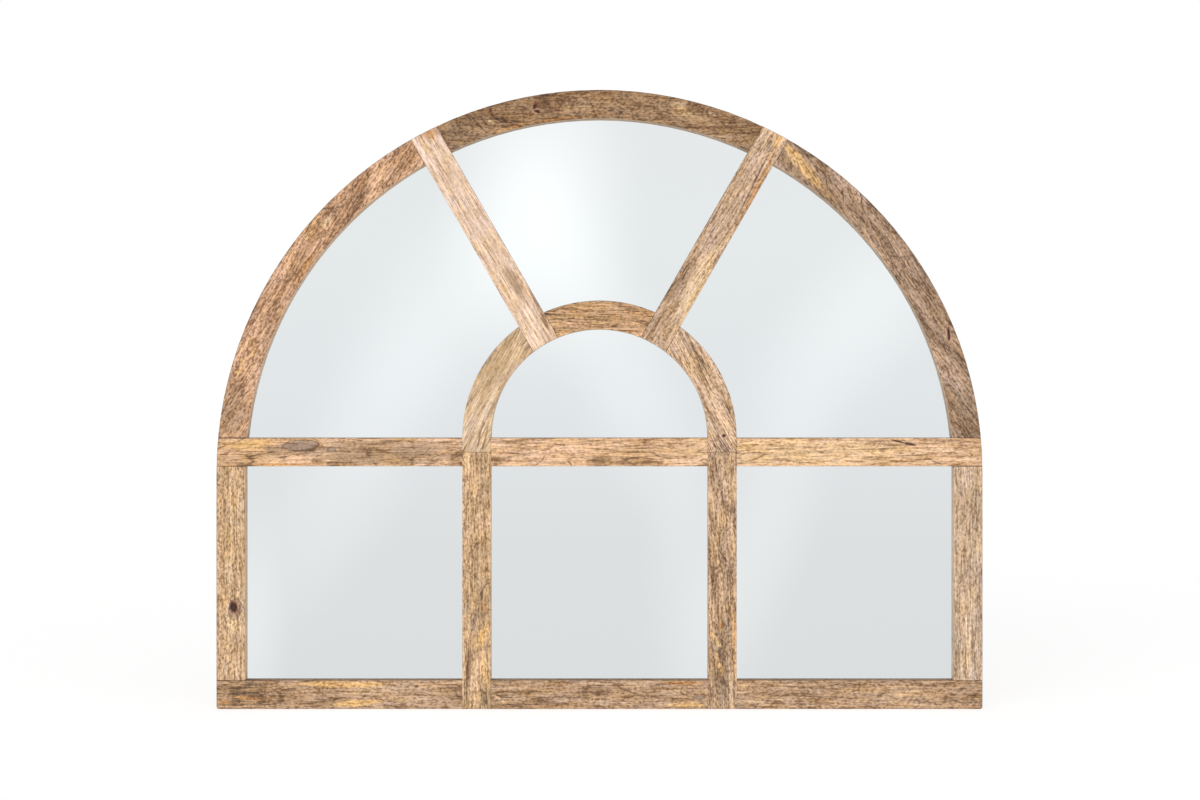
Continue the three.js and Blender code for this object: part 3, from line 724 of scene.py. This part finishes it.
# ------------------------------------------------------------------------------- transom
# One board across the foot of the arch, brown and figured at its left end and pale
# golden from its middle on, with a dark gash near its right end.
board(
    "transom", ("cda47c", "deb490", "f0c6a2"),
    figure(4.0, 9, -12, 48, 0.05, lines=0.6, fleck=0.62),
    (
        ("grey", -330, 402, 330, 44, 0), ("pale", 330, 402, 470, 46, 0),
        ("gold", -548, 414, 80, 16, 4), ("dark", -587, 400, 14, 4, 10),
        ("grey", -511, 405, 34, 15, 0), ("purple", -468, 413, 56, 17, 3),
        ("crack", -466, 404, 56, 1.8, 4), ("purple", -420, 407, 14, 8, 0),
        ("dark", -497, 394, 16, 5, 10), ("orange", -500, 383, 110, 4, 1),
        ("crack", -88, 417, 26, 1.6, 0), ("crack", -62, 414, 30, 1.6, -9),
        ("dark", -136, 400, 44, 3, -4), ("gash", 468, 419, 28, 3.4, -14),
        ("gash", 486, 415, 20, 5, -8), ("dark", 490, 400, 7, 3, 0),
        ("orange", 479, 392, 10, 4, 0), ("crack", 526, 387, 26, 2, -20),
        ("crack", 583, 397, 3, 3, 0), ("crack", 592, 392, 3, 3, 0),
    ),
)

# -------------------------------------------------------------------------------- stiles
# The short upright boards of the two sides, pale and straight-grained. The left one has
# a dead knot near its foot.
board(
    "stile_left", ("bd9a73", "cda984", "dcbc9b"),
    figure(5.0, 6, 70, 20, 0.03, lines=0.25, fleck=1.1),
    (
        ("purple", -571, 156, 34, 20, 80), ("pale", -572, 132, 24, 12, 90),
        ("knot", -573, 160, 19, 12, 100),
    ),
)
board(
    "stile_right", ("c1a588", "cfb197", "dec1a7"),
    figure(6.0, 5, 80, 30, 0.02, lines=0.5, fleck=0.8),
)

# ------------------------------------------------------------------------------ mullions
# The upright bars of the lower half, tenoned flush into the bottom rail and the transom,
# mixed brown and golden.
board(
    "mullion_left", ("b1916f", "cba781", "e1bb96"),
    figure(7.0, 7, 30, 40, 0.09, lines=0.35),
    (
        ("orange", -182, 163, 24, 5, 90), ("dark", -175, 152, 7, 5, 0),
        ("purple", -195, 140, 36, 6, 75), ("gold", -182, 117, 40, 13, 70),
        ("dark", -205, 70, 70, 9, 88), ("gold", -180, 62, 60, 10, 92),
        ("dark", -186, 29, 10, 7, 0),
    ),
)
board(
    "mullion_right", ("a7856a", "be9d7d", "d7b392"),
    figure(8.0, 8, -26, 36, 0.1, lines=0.45, fleck=1.2),
    (
        ("crack", 190, 245, 28, 2, -60), ("crack", 197, 236, 24, 2, -50),
        ("grey", 192, 80, 150, 30, 90), ("orange", 190, 131, 10, 8, 0),
        ("gold", 182, 108, 36, 6, -55), ("gold", 188, 68, 40, 6, -73),
        ("dark", 196, 89, 10, 7, 0), ("orange", 212, 120, 100, 4, 90),
    ),
)

# --------------------------------------------------------------------------- inner arch
# Three short curved boards round the small window: pale at the sides, straight dark
# lines in the top one and steep ones in the right one.
board(
    "inner_arch_left", ("bd9e7a", "d1b08e", "e0c3a4"),
    figure(9.0, 8, 60, 40, 0.04, lines=0.15, fleck=0.42),
    (
        ("dark", -117, 575, 28, 3, 52), ("dark", -111, 568, 22, 3, 52),
        ("dark", -187, 430, 60, 4, 76), ("dark", -179, 424, 50, 4, 76),
    ),
)
board(
    "inner_arch_top", ("b9926a", "cba179", "dcb189"),
    figure(10.0, 5, 70, 20, 0.02, lines=0.9, fleck=0.8),
)
board(
    "inner_arch_right", ("cdaa8a", "d9b799", "e7c4a7"),
    figure(11.0, 5, 70, 26, 0.02, lines=0.9, fleck=0.8),
    (
        ("knot", 195, 428, 6, 5, 0), ("grey", 190, 410, 24, 5, 85),
        ("grey", 199, 409, 22, 4, 85),
    ),
)

# ---------------------------------------------------------------------------- radial bars
# The two slanting bars, halved through the rim and the small arch, pale and pinkish.
board(
    "radial_bar_left", ("dab79c", "e7c8af", "f2d3bf"),
    figure(12.0, 8, 50, 50, 0.04, lines=0.12, fleck=0.42),
    (
        ("orange", -268, 903, 36, 18, -10), ("grey", -136, 669, 56, 18, -60),
        ("gold", -151, 659, 20, 6, -60), ("dark", -101, 640, 42, 6, -63),
        ("dark", -87, 610, 26, 7, -66),
    ),
)
board(
    "radial_bar_right", ("b49376", "c8a88c", "d9b89d"),
    figure(13.0, 7, 40, 44, 0.06, lines=0.25, fleck=0.9),
    (
        ("pale", 150, 662, 150, 26, 60), ("purple", 269, 881, 18, 13, 60),
        ("gold", 279, 890, 36, 12, 60), ("dark", 241, 821, 130, 3, 64),
        ("orange", 248, 820, 136, 6, 64), ("orange", 101, 592, 34, 2, 78),
    ),
)

# --------------------------------------------------------------------------- bottom rail
# One board along the foot of the window, its corners rounded, brown with yellow
# sapwood streaks and small knots.
board(
    "bottom_rail", ("a88564", "bb987a", "cdab8b"),
    figure(14.0, 9, 18, 46, 0.04, lines=0.4),
    (
        ("dark", -512, 30, 10, 5, 0), ("dark", -500, 25, 9, 5, 0),
        ("crack", -487, 31, 26, 2, 12), ("orange", -553, 18, 48, 6, -7),
        ("orange", -586, 11, 18, 6, -10), ("gold", -400, 39, 150, 11, 0),
        ("crack", -322, 37, 5, 4, 0), ("crack", -288, 35, 6, 4, 0),
        ("gold", -378, 10, 84, 11, 4), ("crack", -368, 20, 5, 4, 0),
        ("orange", -145, 12, 8, 6, 0), ("pale", -158, 15, 24, 5, -34),
        ("dark", 47, 27, 30, 3, -24), ("orange", 128, 41, 76, 4, 0),
        ("crack", 129, 26, 10, 2, -45), ("gold", 135, 7, 62, 8, 0),
        ("purple", 156, 18, 18, 6, 0), ("purple", 218, 6, 12, 5, 0),
        ("dark", 588, 20, 12, 4, 60),
    ),
)

# ---------------------------------------------------------------------------- mirror panes
# Seven panes of 4 mm float glass, silvered on the back, held in the bars' rebates: a
# clean reflection, a shade cooler than the room, with a breath of waviness.


def silvered_glass():
    """Silver behind float glass: near-white, slightly cool, with the faintest uneven haze."""
    finish, tree, here = new_finish("silvered float glass")
    sheet = add(tree, "ShaderNodeTexNoise", {"Vector": here, "Scale": 2.2, "Detail": 1.0})
    tint = mixed(tree, sheet.outputs[0], srgb("fafbfb"), srgb("f8fafa"))
    haze = add(tree, "ShaderNodeMapRange", {
        "Value": sheet.outputs[0], "To Min": 0.012, "To Max": 0.03,
    }).outputs[0]
    wave = add(tree, "ShaderNodeTexNoise", {"Vector": here, "Scale": 9.0, "Detail": 0.0})
    bump = add(tree, "ShaderNodeBump", {
        "Height": wave.outputs[0], "Strength": 0.2, "Distance": 0.02 * MM,
    })
    shader = add(tree, "ShaderNodeBsdfPrincipled", {
        "Base Color": tint, "Metallic": 1.0, "Roughness": haze, "Normal": bump.outputs[0],
    })
    add(tree, "ShaderNodeOutputMaterial", {"Surface": shader.outputs[0]})
    return finish


glass = silvered_glass()
for name, node in frame["nodes"].items():
    if name.startswith("pane_"):
        node.material_slots[0].material = glass

# ---------------------------------------------------------------------------- back board
# One arched sheet of raw 5 mm MDF that traps the panes: pressed wood dust and short
# fibres, smooth-faced, matt and mottled.
MDF_SHADES = ((0.3, "8d6d4c"), (0.46, "ab8963"), (0.56, "b8976f"), (0.7, "cfb18b"))


def raw_mdf():
    """Raw MDF: warm brown, dusted with pale and dark fibres, dead matt."""
    finish, tree, here = new_finish("raw MDF")
    fibre = add(tree, "ShaderNodeTexNoise", {
        "Vector": here, "Scale": 1 / (2.4 * MM), "Detail": 4.0, "Roughness": 0.7, "Distortion": 1.2,
    })
    mottle = add(tree, "ShaderNodeTexNoise", {"Vector": here, "Scale": 1 / (60 * MM), "Detail": 2.0})
    blend = sums(tree, (fibre.outputs[0], 0.7), (mottle.outputs[0], 0.3))
    tint = ramped(tree, blend, [(at, srgb(code)) for at, code in MDF_SHADES])
    bump = add(tree, "ShaderNodeBump", {
        "Height": fibre.outputs[0], "Strength": 0.4, "Distance": 0.1 * MM,
    })
    shader = add(tree, "ShaderNodeBsdfPrincipled", {
        "Base Color": tint, "Roughness": 0.85, "Normal": bump.outputs[0],
    })
    add(tree, "ShaderNodeOutputMaterial", {"Surface": shader.outputs[0]})
    return finish


frame["nodes"]["back_board"].material_slots[0].material = raw_mdf()

# -------------------------------------------------------------------------------- screws
# Zinc-plated steel wood screws with a cross recess: nineteen countersunk ones hold the
# back board, and two pan-headed ones hold each hanger. Each stopped at its own turn.
SCREW_SIDES = 24
RECESS_ARM = 0.42          # shares of the radius of the head's flat
RECESS_HALF = 0.13
RECESS_FLOOR = 0.55        # share of the recess's outline that its floor keeps
RECESS_DEPTH = 1.3 * MM
THREAD_PITCH = 1.4 * MM
THREAD_RISE = 0.3          # share of the shank's radius
LOOPS_A_TURN = 4
SHANK = 1.6 * MM
SUNK_SEED = 3
PAN_SEED = 8
PAN_HEAD = 3 * MM
PAN_RISE = 1.8 * MM


def zinc_plate():
    """Bright zinc plating: pale blue-grey, slightly milky, with a faint spangle."""
    finish, tree, here = new_finish("zinc-plated steel")
    spangle = add(tree, "ShaderNodeTexNoise", {"Vector": here, "Scale": 1 / (1.5 * MM), "Detail": 3.0})
    tint = mixed(tree, spangle.outputs[0], srgb("a9adb0"), srgb("cfd3d6"))
    rough = add(tree, "ShaderNodeMapRange", {
        "Value": spangle.outputs[0], "To Min": 0.24, "To Max": 0.46,
    }).outputs[0]
    bump = add(tree, "ShaderNodeBump", {
        "Height": spangle.outputs[0], "Strength": 0.2, "Distance": 0.03 * MM,
    })
    shader = add(tree, "ShaderNodeBsdfPrincipled", {
        "Base Color": tint, "Metallic": 1.0, "Roughness": rough, "Normal": bump.outputs[0],
    })
    add(tree, "ShaderNodeOutputMaterial", {"Surface": shader.outputs[0]})
    return finish


def screw_shape(name, profile, shank, length):
    """A screw along Y, its head's flat top at the profile's first height."""
    body = bmesh.new()
    flat, top = profile[0]

    def circle(radius, y, twist=0.0):
        points = []
        for k in range(SCREW_SIDES):
            angle = 2 * math.pi * k / SCREW_SIDES
            out = radius
            if twist:
                phase = (y / THREAD_PITCH - k / SCREW_SIDES) % 1
                out += twist * (1 - abs(2 * phase - 1))
            points.append(body.verts.new((out * math.cos(angle), y, out * math.sin(angle))))
        return points

    def band(upper, lower):
        for k in range(len(upper)):
            j = (k + 1) % len(upper)
            body.faces.new((upper[k], upper[j], lower[j], lower[k]))

    def cross(share, y):
        arm = RECESS_ARM * 2 * flat * share
        half = RECESS_HALF * flat * share
        corner = [(half, half), (half, arm), (-half, arm), (-half, half), (-arm, half), (-arm, -half),
                  (-half, -half), (-half, -arm), (half, -arm), (half, -half), (arm, -half), (arm, half)]
        return [body.verts.new((x, y, z)) for x, z in corner]

    rim = circle(*profile[0])
    recess = cross(1.0, top)
    edges = [body.edges.new((rim[k - 1], rim[k])) for k in range(len(rim))]
    edges += [body.edges.new((recess[k - 1], recess[k])) for k in range(len(recess))]
    bmesh.ops.triangle_fill(body, use_beauty=True, use_dissolve=False, edges=edges)
    floor = cross(RECESS_FLOOR, top - RECESS_DEPTH)
    band(recess, floor)
    body.faces.new(floor)
    last = rim
    for radius, y in profile[1:]:
        ring = circle(radius, y)
        band(last, ring)
        last = ring
    start = profile[-1][1]
    end = top - length
    count = int((start - end - 2 * shank) / THREAD_PITCH * LOOPS_A_TURN)
    for k in range(1, count + 1):
        height = start - k * THREAD_PITCH / LOOPS_A_TURN
        ring = circle(shank * (1 - THREAD_RISE), height, THREAD_RISE * shank)
        band(last, ring)
        last = ring
    point = body.verts.new((0, end, 0))
    for k in range(len(last)):
        body.faces.new((last[k], last[(k + 1) % len(last)], point))
    bmesh.ops.recalc_face_normals(body, faces=body.faces)
    return new_object(name, smooth_mesh(body, name, SHARP))


driven = new_group(
    "screws driven home", "GeometryNodeTree",
    {
        "Geometry": ("NodeSocketGeometry", None),
        "Screw": ("NodeSocketObject", None),
        "Seed": ("NodeSocketInt", 1),
        "Material": ("NodeSocketMaterial", None),
    },
    {"Geometry": "NodeSocketGeometry"},
)
given = add(driven, "NodeGroupInput").outputs
pattern = add(driven, "GeometryNodeObjectInfo", {"Object": given["Screw"]})
stop = add(driven, "FunctionNodeRandomValue", {
    "Seed": given["Seed"], 2: 0.0, 3: 2 * math.pi,
}, data_type="FLOAT")
stopped = add(driven, "ShaderNodeCombineXYZ", {"Y": stop.outputs[1]})
placed = add(driven, "GeometryNodeInstanceOnPoints", {
    "Points": given["Geometry"], "Instance": pattern.outputs["Geometry"],
    "Rotation": stopped.outputs[0],
})
real = add(driven, "GeometryNodeRealizeInstances", {"Geometry": placed.outputs[0]})
dressed = add(driven, "GeometryNodeSetMaterial", {
    "Geometry": real.outputs[0], "Material": given["Material"],
})
add(driven, "NodeGroupOutput", {"Geometry": dressed.outputs[0]})

zinc = zinc_plate()


def drive(name, prefix, pattern_object, seed):
    """Drives one screw into the place of each CAD screw whose name starts alike."""
    names = sorted(n for n in frame["nodes"] if n.startswith(prefix))
    seats = []
    for n in names:
        low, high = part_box(n)
        seats.append(((low.x + high.x) / 2, high.y, (low.z + high.z) / 2))
    mesh = bpy.data.meshes.new(name)
    mesh.from_pydata(seats, [], [])
    maker = new_object(name + ".maker", mesh)
    node_modifier(maker, driven, {"Screw": pattern_object, "Seed": seed, "Material": zinc})
    piece = settle(maker, name)
    bpy.data.objects.remove(pattern_object)
    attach(piece, "frame")
    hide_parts(*names)


low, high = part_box("board_screw_01")
sunk_head = (high.x - low.x) / 2
sunk_profile = (
    (sunk_head * 0.97, 0), (sunk_head, -0.15 * MM), (sunk_head, -0.4 * MM),
    (1.75 * MM, -2.4 * MM), (SHANK, -3 * MM),
)
sunk_screw = screw_shape("sunk screw", sunk_profile, SHANK, high.y - low.y)
drive("board_screws", "board_screw", sunk_screw, SUNK_SEED)

low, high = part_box("hanger_screw_left_1")
pan_profile = (
    (PAN_HEAD * 0.66, 0), (PAN_HEAD * 0.86, -0.18 * PAN_RISE), (PAN_HEAD * 0.97, -0.45 * PAN_RISE),
    (PAN_HEAD, -0.7 * PAN_RISE), (PAN_HEAD, -PAN_RISE), (1.7 * MM, -PAN_RISE),
    (1.7 * MM, -1.3 * PAN_RISE),
)
pan_screw = screw_shape("pan screw", pan_profile, SHANK, high.y - low.y)
drive("hanger_screws", "hanger_screw", pan_screw, PAN_SEED)

# ------------------------------------------------------------------------------- hangers
# A strip of zinc-plated steel folded round each ring and screwed to the rim's back, and
# a D-shaped ring of 3 mm wire that swings in it and takes the wall hook.
STRAP_EASE = 0.12 * MM
STRAP_SHARP = math.radians(50)
STRAP_STEPS = 2
WIRE = 1.5 * MM            # half the wire's thickness
WIRE_STEPS = 4
RING_HALF = 10.5 * MM      # half width of the D, on the wire's centre line
RING_SIDE = 5.5 * MM       # straight side of the D
RING_CORNER = 3 * MM
RING_LEAN = math.radians(4.3)
HANGER_ANGLE = math.radians(26)
CORNER_POINTS = 8
HEAD_POINTS = 40


def ring_outline():
    """Points round the D: a straight bar with bent corners, two sides, a round head."""
    points = []
    for centre_x, start in ((RING_HALF - RING_CORNER, -90), (None, 0), (RING_CORNER - RING_HALF, 180)):
        count = HEAD_POINTS if centre_x is None else CORNER_POINTS
        sweep = 180 if centre_x is None else 90
        for k in range(count + 1):
            angle = math.radians(start + sweep * k / count)
            if centre_x is None:
                points.append((RING_HALF * math.cos(angle), 0, RING_SIDE + RING_HALF * math.sin(angle)))
            else:
                points.append((centre_x + RING_CORNER * math.cos(angle), 0,
                               RING_CORNER + RING_CORNER * math.sin(angle)))
    return points


for side, word in ((-1, "left"), (1, "right")):
    body = welded("hanger_strap_" + word)
    mesh = bpy.data.meshes.new("strap")
    for face in body.faces:
        face.smooth = True
    body.to_mesh(mesh)
    body.free()
    maker = new_object("strap.maker", mesh)
    ease = maker.modifiers.new("rolled edge", "BEVEL")
    ease.limit_method = "ANGLE"
    ease.angle_limit = STRAP_SHARP
    ease.width = STRAP_EASE
    ease.segments = STRAP_STEPS
    strap = settle(maker, "strap_" + word)
    strap.data.set_sharp_from_angle(angle=SHARP)
    strap.data.materials.clear()
    strap.data.materials.append(zinc)
    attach(strap, "frame")
    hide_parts("hanger_strap_" + word)

    joint = next(j for j in frame["joints"] if j["child"] == "ring_" + word)
    pivot = Vector(joint["pos_m"])
    wire = bpy.data.curves.new("wire", "CURVE")
    wire.dimensions = "3D"
    wire.bevel_depth = WIRE
    wire.bevel_resolution = WIRE_STEPS
    outline = ring_outline()
    spline = wire.splines.new("POLY")
    spline.points.add(len(outline) - 1)
    for point, place in zip(spline.points, outline):
        point.co = (*place, 1)
    spline.use_cyclic_u = True
    ring = settle(new_object("wire.maker", wire), "ring_wire_" + word)
    ring.data.transform(
        Matrix.Translation(pivot) @ Matrix.Rotation(-side * HANGER_ANGLE, 4, "Y")
        @ Matrix.Rotation(RING_LEAN, 4, "X")
    )
    for face in ring.data.polygons:
        face.use_smooth = True
    ring.data.materials.clear()
    ring.data.materials.append(zinc)
    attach(ring, "ring_" + word)
    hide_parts("hanger_ring_" + word)

# --------------------------------------------------------------------------- wall bumpers
# A disc of pressed wool felt stuck to each stile's foot, so that the mirror hangs clear
# of the wall: soft-edged, matt and matted with loose fibres.
PAD_SIDES = 48
PAD_RINGS = ((0.5, 1.0), (0.86, 0.99), (0.96, 0.93), (1.0, 0.8), (0.99, 0.4), (0.98, 0.0))
PAD_FRAY = 0.02            # how uneven its edge is, as a share of its radius
PAD_SHARP = math.radians(60)


def pressed_felt():
    """Pressed felt: dark brown-grey wool, no gloss, fibres lying every way."""
    finish, tree, here = new_finish("pressed wool felt")
    wool = add(tree, "ShaderNodeTexNoise", {
        "Vector": here, "Scale": 1 / (0.9 * MM), "Detail": 4.0, "Roughness": 0.75, "Distortion": 2.0,
    })
    tint = mixed(tree, wool.outputs[0], srgb("332c27"), srgb("685d53"))
    bump = add(tree, "ShaderNodeBump", {
        "Height": wool.outputs[0], "Strength": 0.8, "Distance": 0.3 * MM,
    })
    shader = add(tree, "ShaderNodeBsdfPrincipled", {
        "Base Color": tint, "Roughness": 0.95, "Sheen Weight": 0.3, "Normal": bump.outputs[0],
    })
    add(tree, "ShaderNodeOutputMaterial", {"Surface": shader.outputs[0]})
    return finish


felt = pressed_felt()
for word in ("left", "right"):
    low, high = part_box("wall_bumper_" + word)
    radius = (high.x - low.x) / 2
    body = bmesh.new()
    last = None
    middle = body.verts.new(((low.x + high.x) / 2, high.y, (low.z + high.z) / 2))
    for out, up in PAD_RINGS:
        ring = []
        for k in range(PAD_SIDES):
            angle = 2 * math.pi * k / PAD_SIDES
            fray = 1 - PAD_FRAY * (0.5 + 0.5 * math.sin(7 * angle + 3 * math.sin(5 * angle)))
            ring.append(body.verts.new((
                middle.co.x + radius * out * fray * math.cos(angle),
                low.y + (high.y - low.y) * up,
                middle.co.z + radius * out * fray * math.sin(angle),
            )))
        for k in range(PAD_SIDES):
            j = (k + 1) % PAD_SIDES
            if last is None:
                body.faces.new((middle, ring[k], ring[j]))
            else:
                body.faces.new((last[k], ring[k], ring[j], last[j]))
        last = ring
    body.faces.new(last)
    bmesh.ops.recalc_face_normals(body, faces=body.faces)
    pad = new_object("felt_pad_" + word, smooth_mesh(body, "felt", PAD_SHARP))
    pad.data.materials.append(felt)
    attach(pad, "frame")
    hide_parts("wall_bumper_" + word)

# --------------------------------------------------------------------------- floor and light
# A plain white floor and white surroundings, with two soft lights from the front and more
# of the room's light from below, off the floor, than from above. What the panes show is the
# pale room in front: even, a little darker low down, with a few soft bright bands.
FLOOR_SIZE = 40
FLOOR_PAINT = (0.6, 0.6, 0.6, 1)
FLOOR_GLOW = 0.685         # what only the camera sees on top of it
WHITE = (1, 1, 1, 1)
ROOM_LIGHT_BELOW = 0.68
ROOM_LIGHT_ABOVE = 0.4
KEY = (1.05, (math.radians(80), 0, math.radians(-24)))
FILL = (0.5, (math.radians(96), 0, math.radians(38)))
SOFTNESS = math.radians(60)
PANE_LEVELS = ((0.0, "e0e2e2"), (0.25, "e2e4e5"), (0.5, "e7eaec"), (0.75, "ebeeef"), (1.0, "ebedee"))
SHADES_TOP = 970.0         # height over which those run, in mm
LEAST_AHEAD = 0.05         # keeps what lies beside and behind from running off
BAND_BLUR = 0.95
BAND_DEPTH = 2             # any depth will do, for the bands are flat
# Each bright band as it lies on the panes: middle x and z, length, width, turn, lift.
BANDS = (
    ((-95, 785), (330, 190), 88, 0.17),
    ((-250, 620), (360, 150), 52, 0.075),
    ((-400, 350), (420, 130), 60, 0.06),
    ((20, 560), (420, 120), -66, 0.075),
    ((140, 190), (320, 100), 90, 0.05),
    ((400, 600), (360, 140), 48, 0.085),
    ((240, 240), (400, 110), 70, 0.075),
    ((-545, 120), (300, 70), 90, 0.08),
)

bpy.ops.mesh.primitive_plane_add(size=FLOOR_SIZE)
floor = bpy.context.object
floor.name = "floor"
floor.visible_glossy = False
floor.visible_diffuse = False
floor.visible_shadow = False
white = bpy.data.materials.new("white floor")
white.use_nodes = True
tree = white.node_tree
tree.nodes.clear()
path = add(tree, "ShaderNodeLightPath")
paint = add(tree, "ShaderNodeBsdfDiffuse", {"Color": FLOOR_PAINT})
glow = add(tree, "ShaderNodeEmission", {
    "Color": WHITE, "Strength": calc(tree, "MULTIPLY", path.outputs["Is Camera Ray"], FLOOR_GLOW),
})
both = add(tree, "ShaderNodeAddShader", {0: paint.outputs[0], 1: glow.outputs[0]})
add(tree, "ShaderNodeOutputMaterial", {"Surface": both.outputs[0]})
floor.data.materials.append(white)

for name, (strength, turn) in (("key light", KEY), ("fill light", FILL)):
    lamp = bpy.data.lights.new(name, "SUN")
    lamp.energy = strength
    lamp.angle = SOFTNESS
    holder = bpy.data.objects.new(name, lamp)
    holder.rotation_euler = turn
    holder.visible_glossy = False
    scene.collection.objects.link(holder)

room = bpy.data.worlds.new("pale room")
scene.world = room
room.use_nodes = True
tree = room.node_tree
tree.nodes.clear()
path = add(tree, "ShaderNodeLightPath").outputs
looking = add(tree, "ShaderNodeTexCoord").outputs["Generated"]
direction = add(tree, "ShaderNodeSeparateXYZ", {0: looking}).outputs
ahead = calc(tree, "MAXIMUM", calc(tree, "MULTIPLY", direction["Y"], -1.0), LEAST_AHEAD)
flat = add(tree, "ShaderNodeVectorMath", {
    0: looking, "Scale": EYE_DISTANCE / MM,
}, operation="SCALE").outputs[0]
ahead_three = add(tree, "ShaderNodeCombineXYZ", {"X": ahead, "Y": 1.0, "Z": ahead}).outputs[0]
on_pane = vector_calc(tree, "DIVIDE", flat, ahead_three)
on_pane = vector_calc(tree, "MULTIPLY_ADD", on_pane, (1, 0, 1), (0, 0, EYE_HEIGHT / MM))
height_share = add(tree, "ShaderNodeMapRange", {
    "Value": add(tree, "ShaderNodeSeparateXYZ", {0: on_pane}).outputs["Z"],
    "From Min": 0.0, "From Max": SHADES_TOP,
}).outputs[0]
levels = ramped(tree, height_share, [(at, srgb(code)) for at, code in PANE_LEVELS])
lift = 0.0
for (x, z), (length, width), turn, strength in BANDS:
    size = (length, BAND_DEPTH, width)
    spot = marked(tree, on_pane, (x, 0, z), math.radians(turn), size, BAND_BLUR, strength)
    lift = calc(tree, "ADD", spot, lift)
lifted = vector_calc(tree, "ADD", levels, lift)
shown = add(tree, "ShaderNodeBackground", {"Color": WHITE, "Strength": 1.0})
seen_in_glass = add(tree, "ShaderNodeBackground", {"Color": lifted, "Strength": 1.0})
room_light = add(tree, "ShaderNodeMapRange", {
    "Value": direction["Z"], "From Min": -1.0, "From Max": 1.0, "To Min": ROOM_LIGHT_BELOW,
    "To Max": ROOM_LIGHT_ABOVE,
}).outputs[0]
soft = add(tree, "ShaderNodeBackground", {"Color": WHITE, "Strength": room_light})
for_gloss = add(tree, "ShaderNodeMixShader", {
    0: path["Is Glossy Ray"], 1: soft.outputs[0], 2: seen_in_glass.outputs[0],
})
seen = calc(tree, "MAXIMUM", path["Is Camera Ray"], path["Is Transmission Ray"])
final = add(tree, "ShaderNodeMixShader", {0: seen, 1: for_gloss.outputs[0], 2: shown.outputs[0]})
add(tree, "ShaderNodeOutputWorld", {"Surface": final.outputs[0]})

scene.view_settings.view_transform = "Standard"
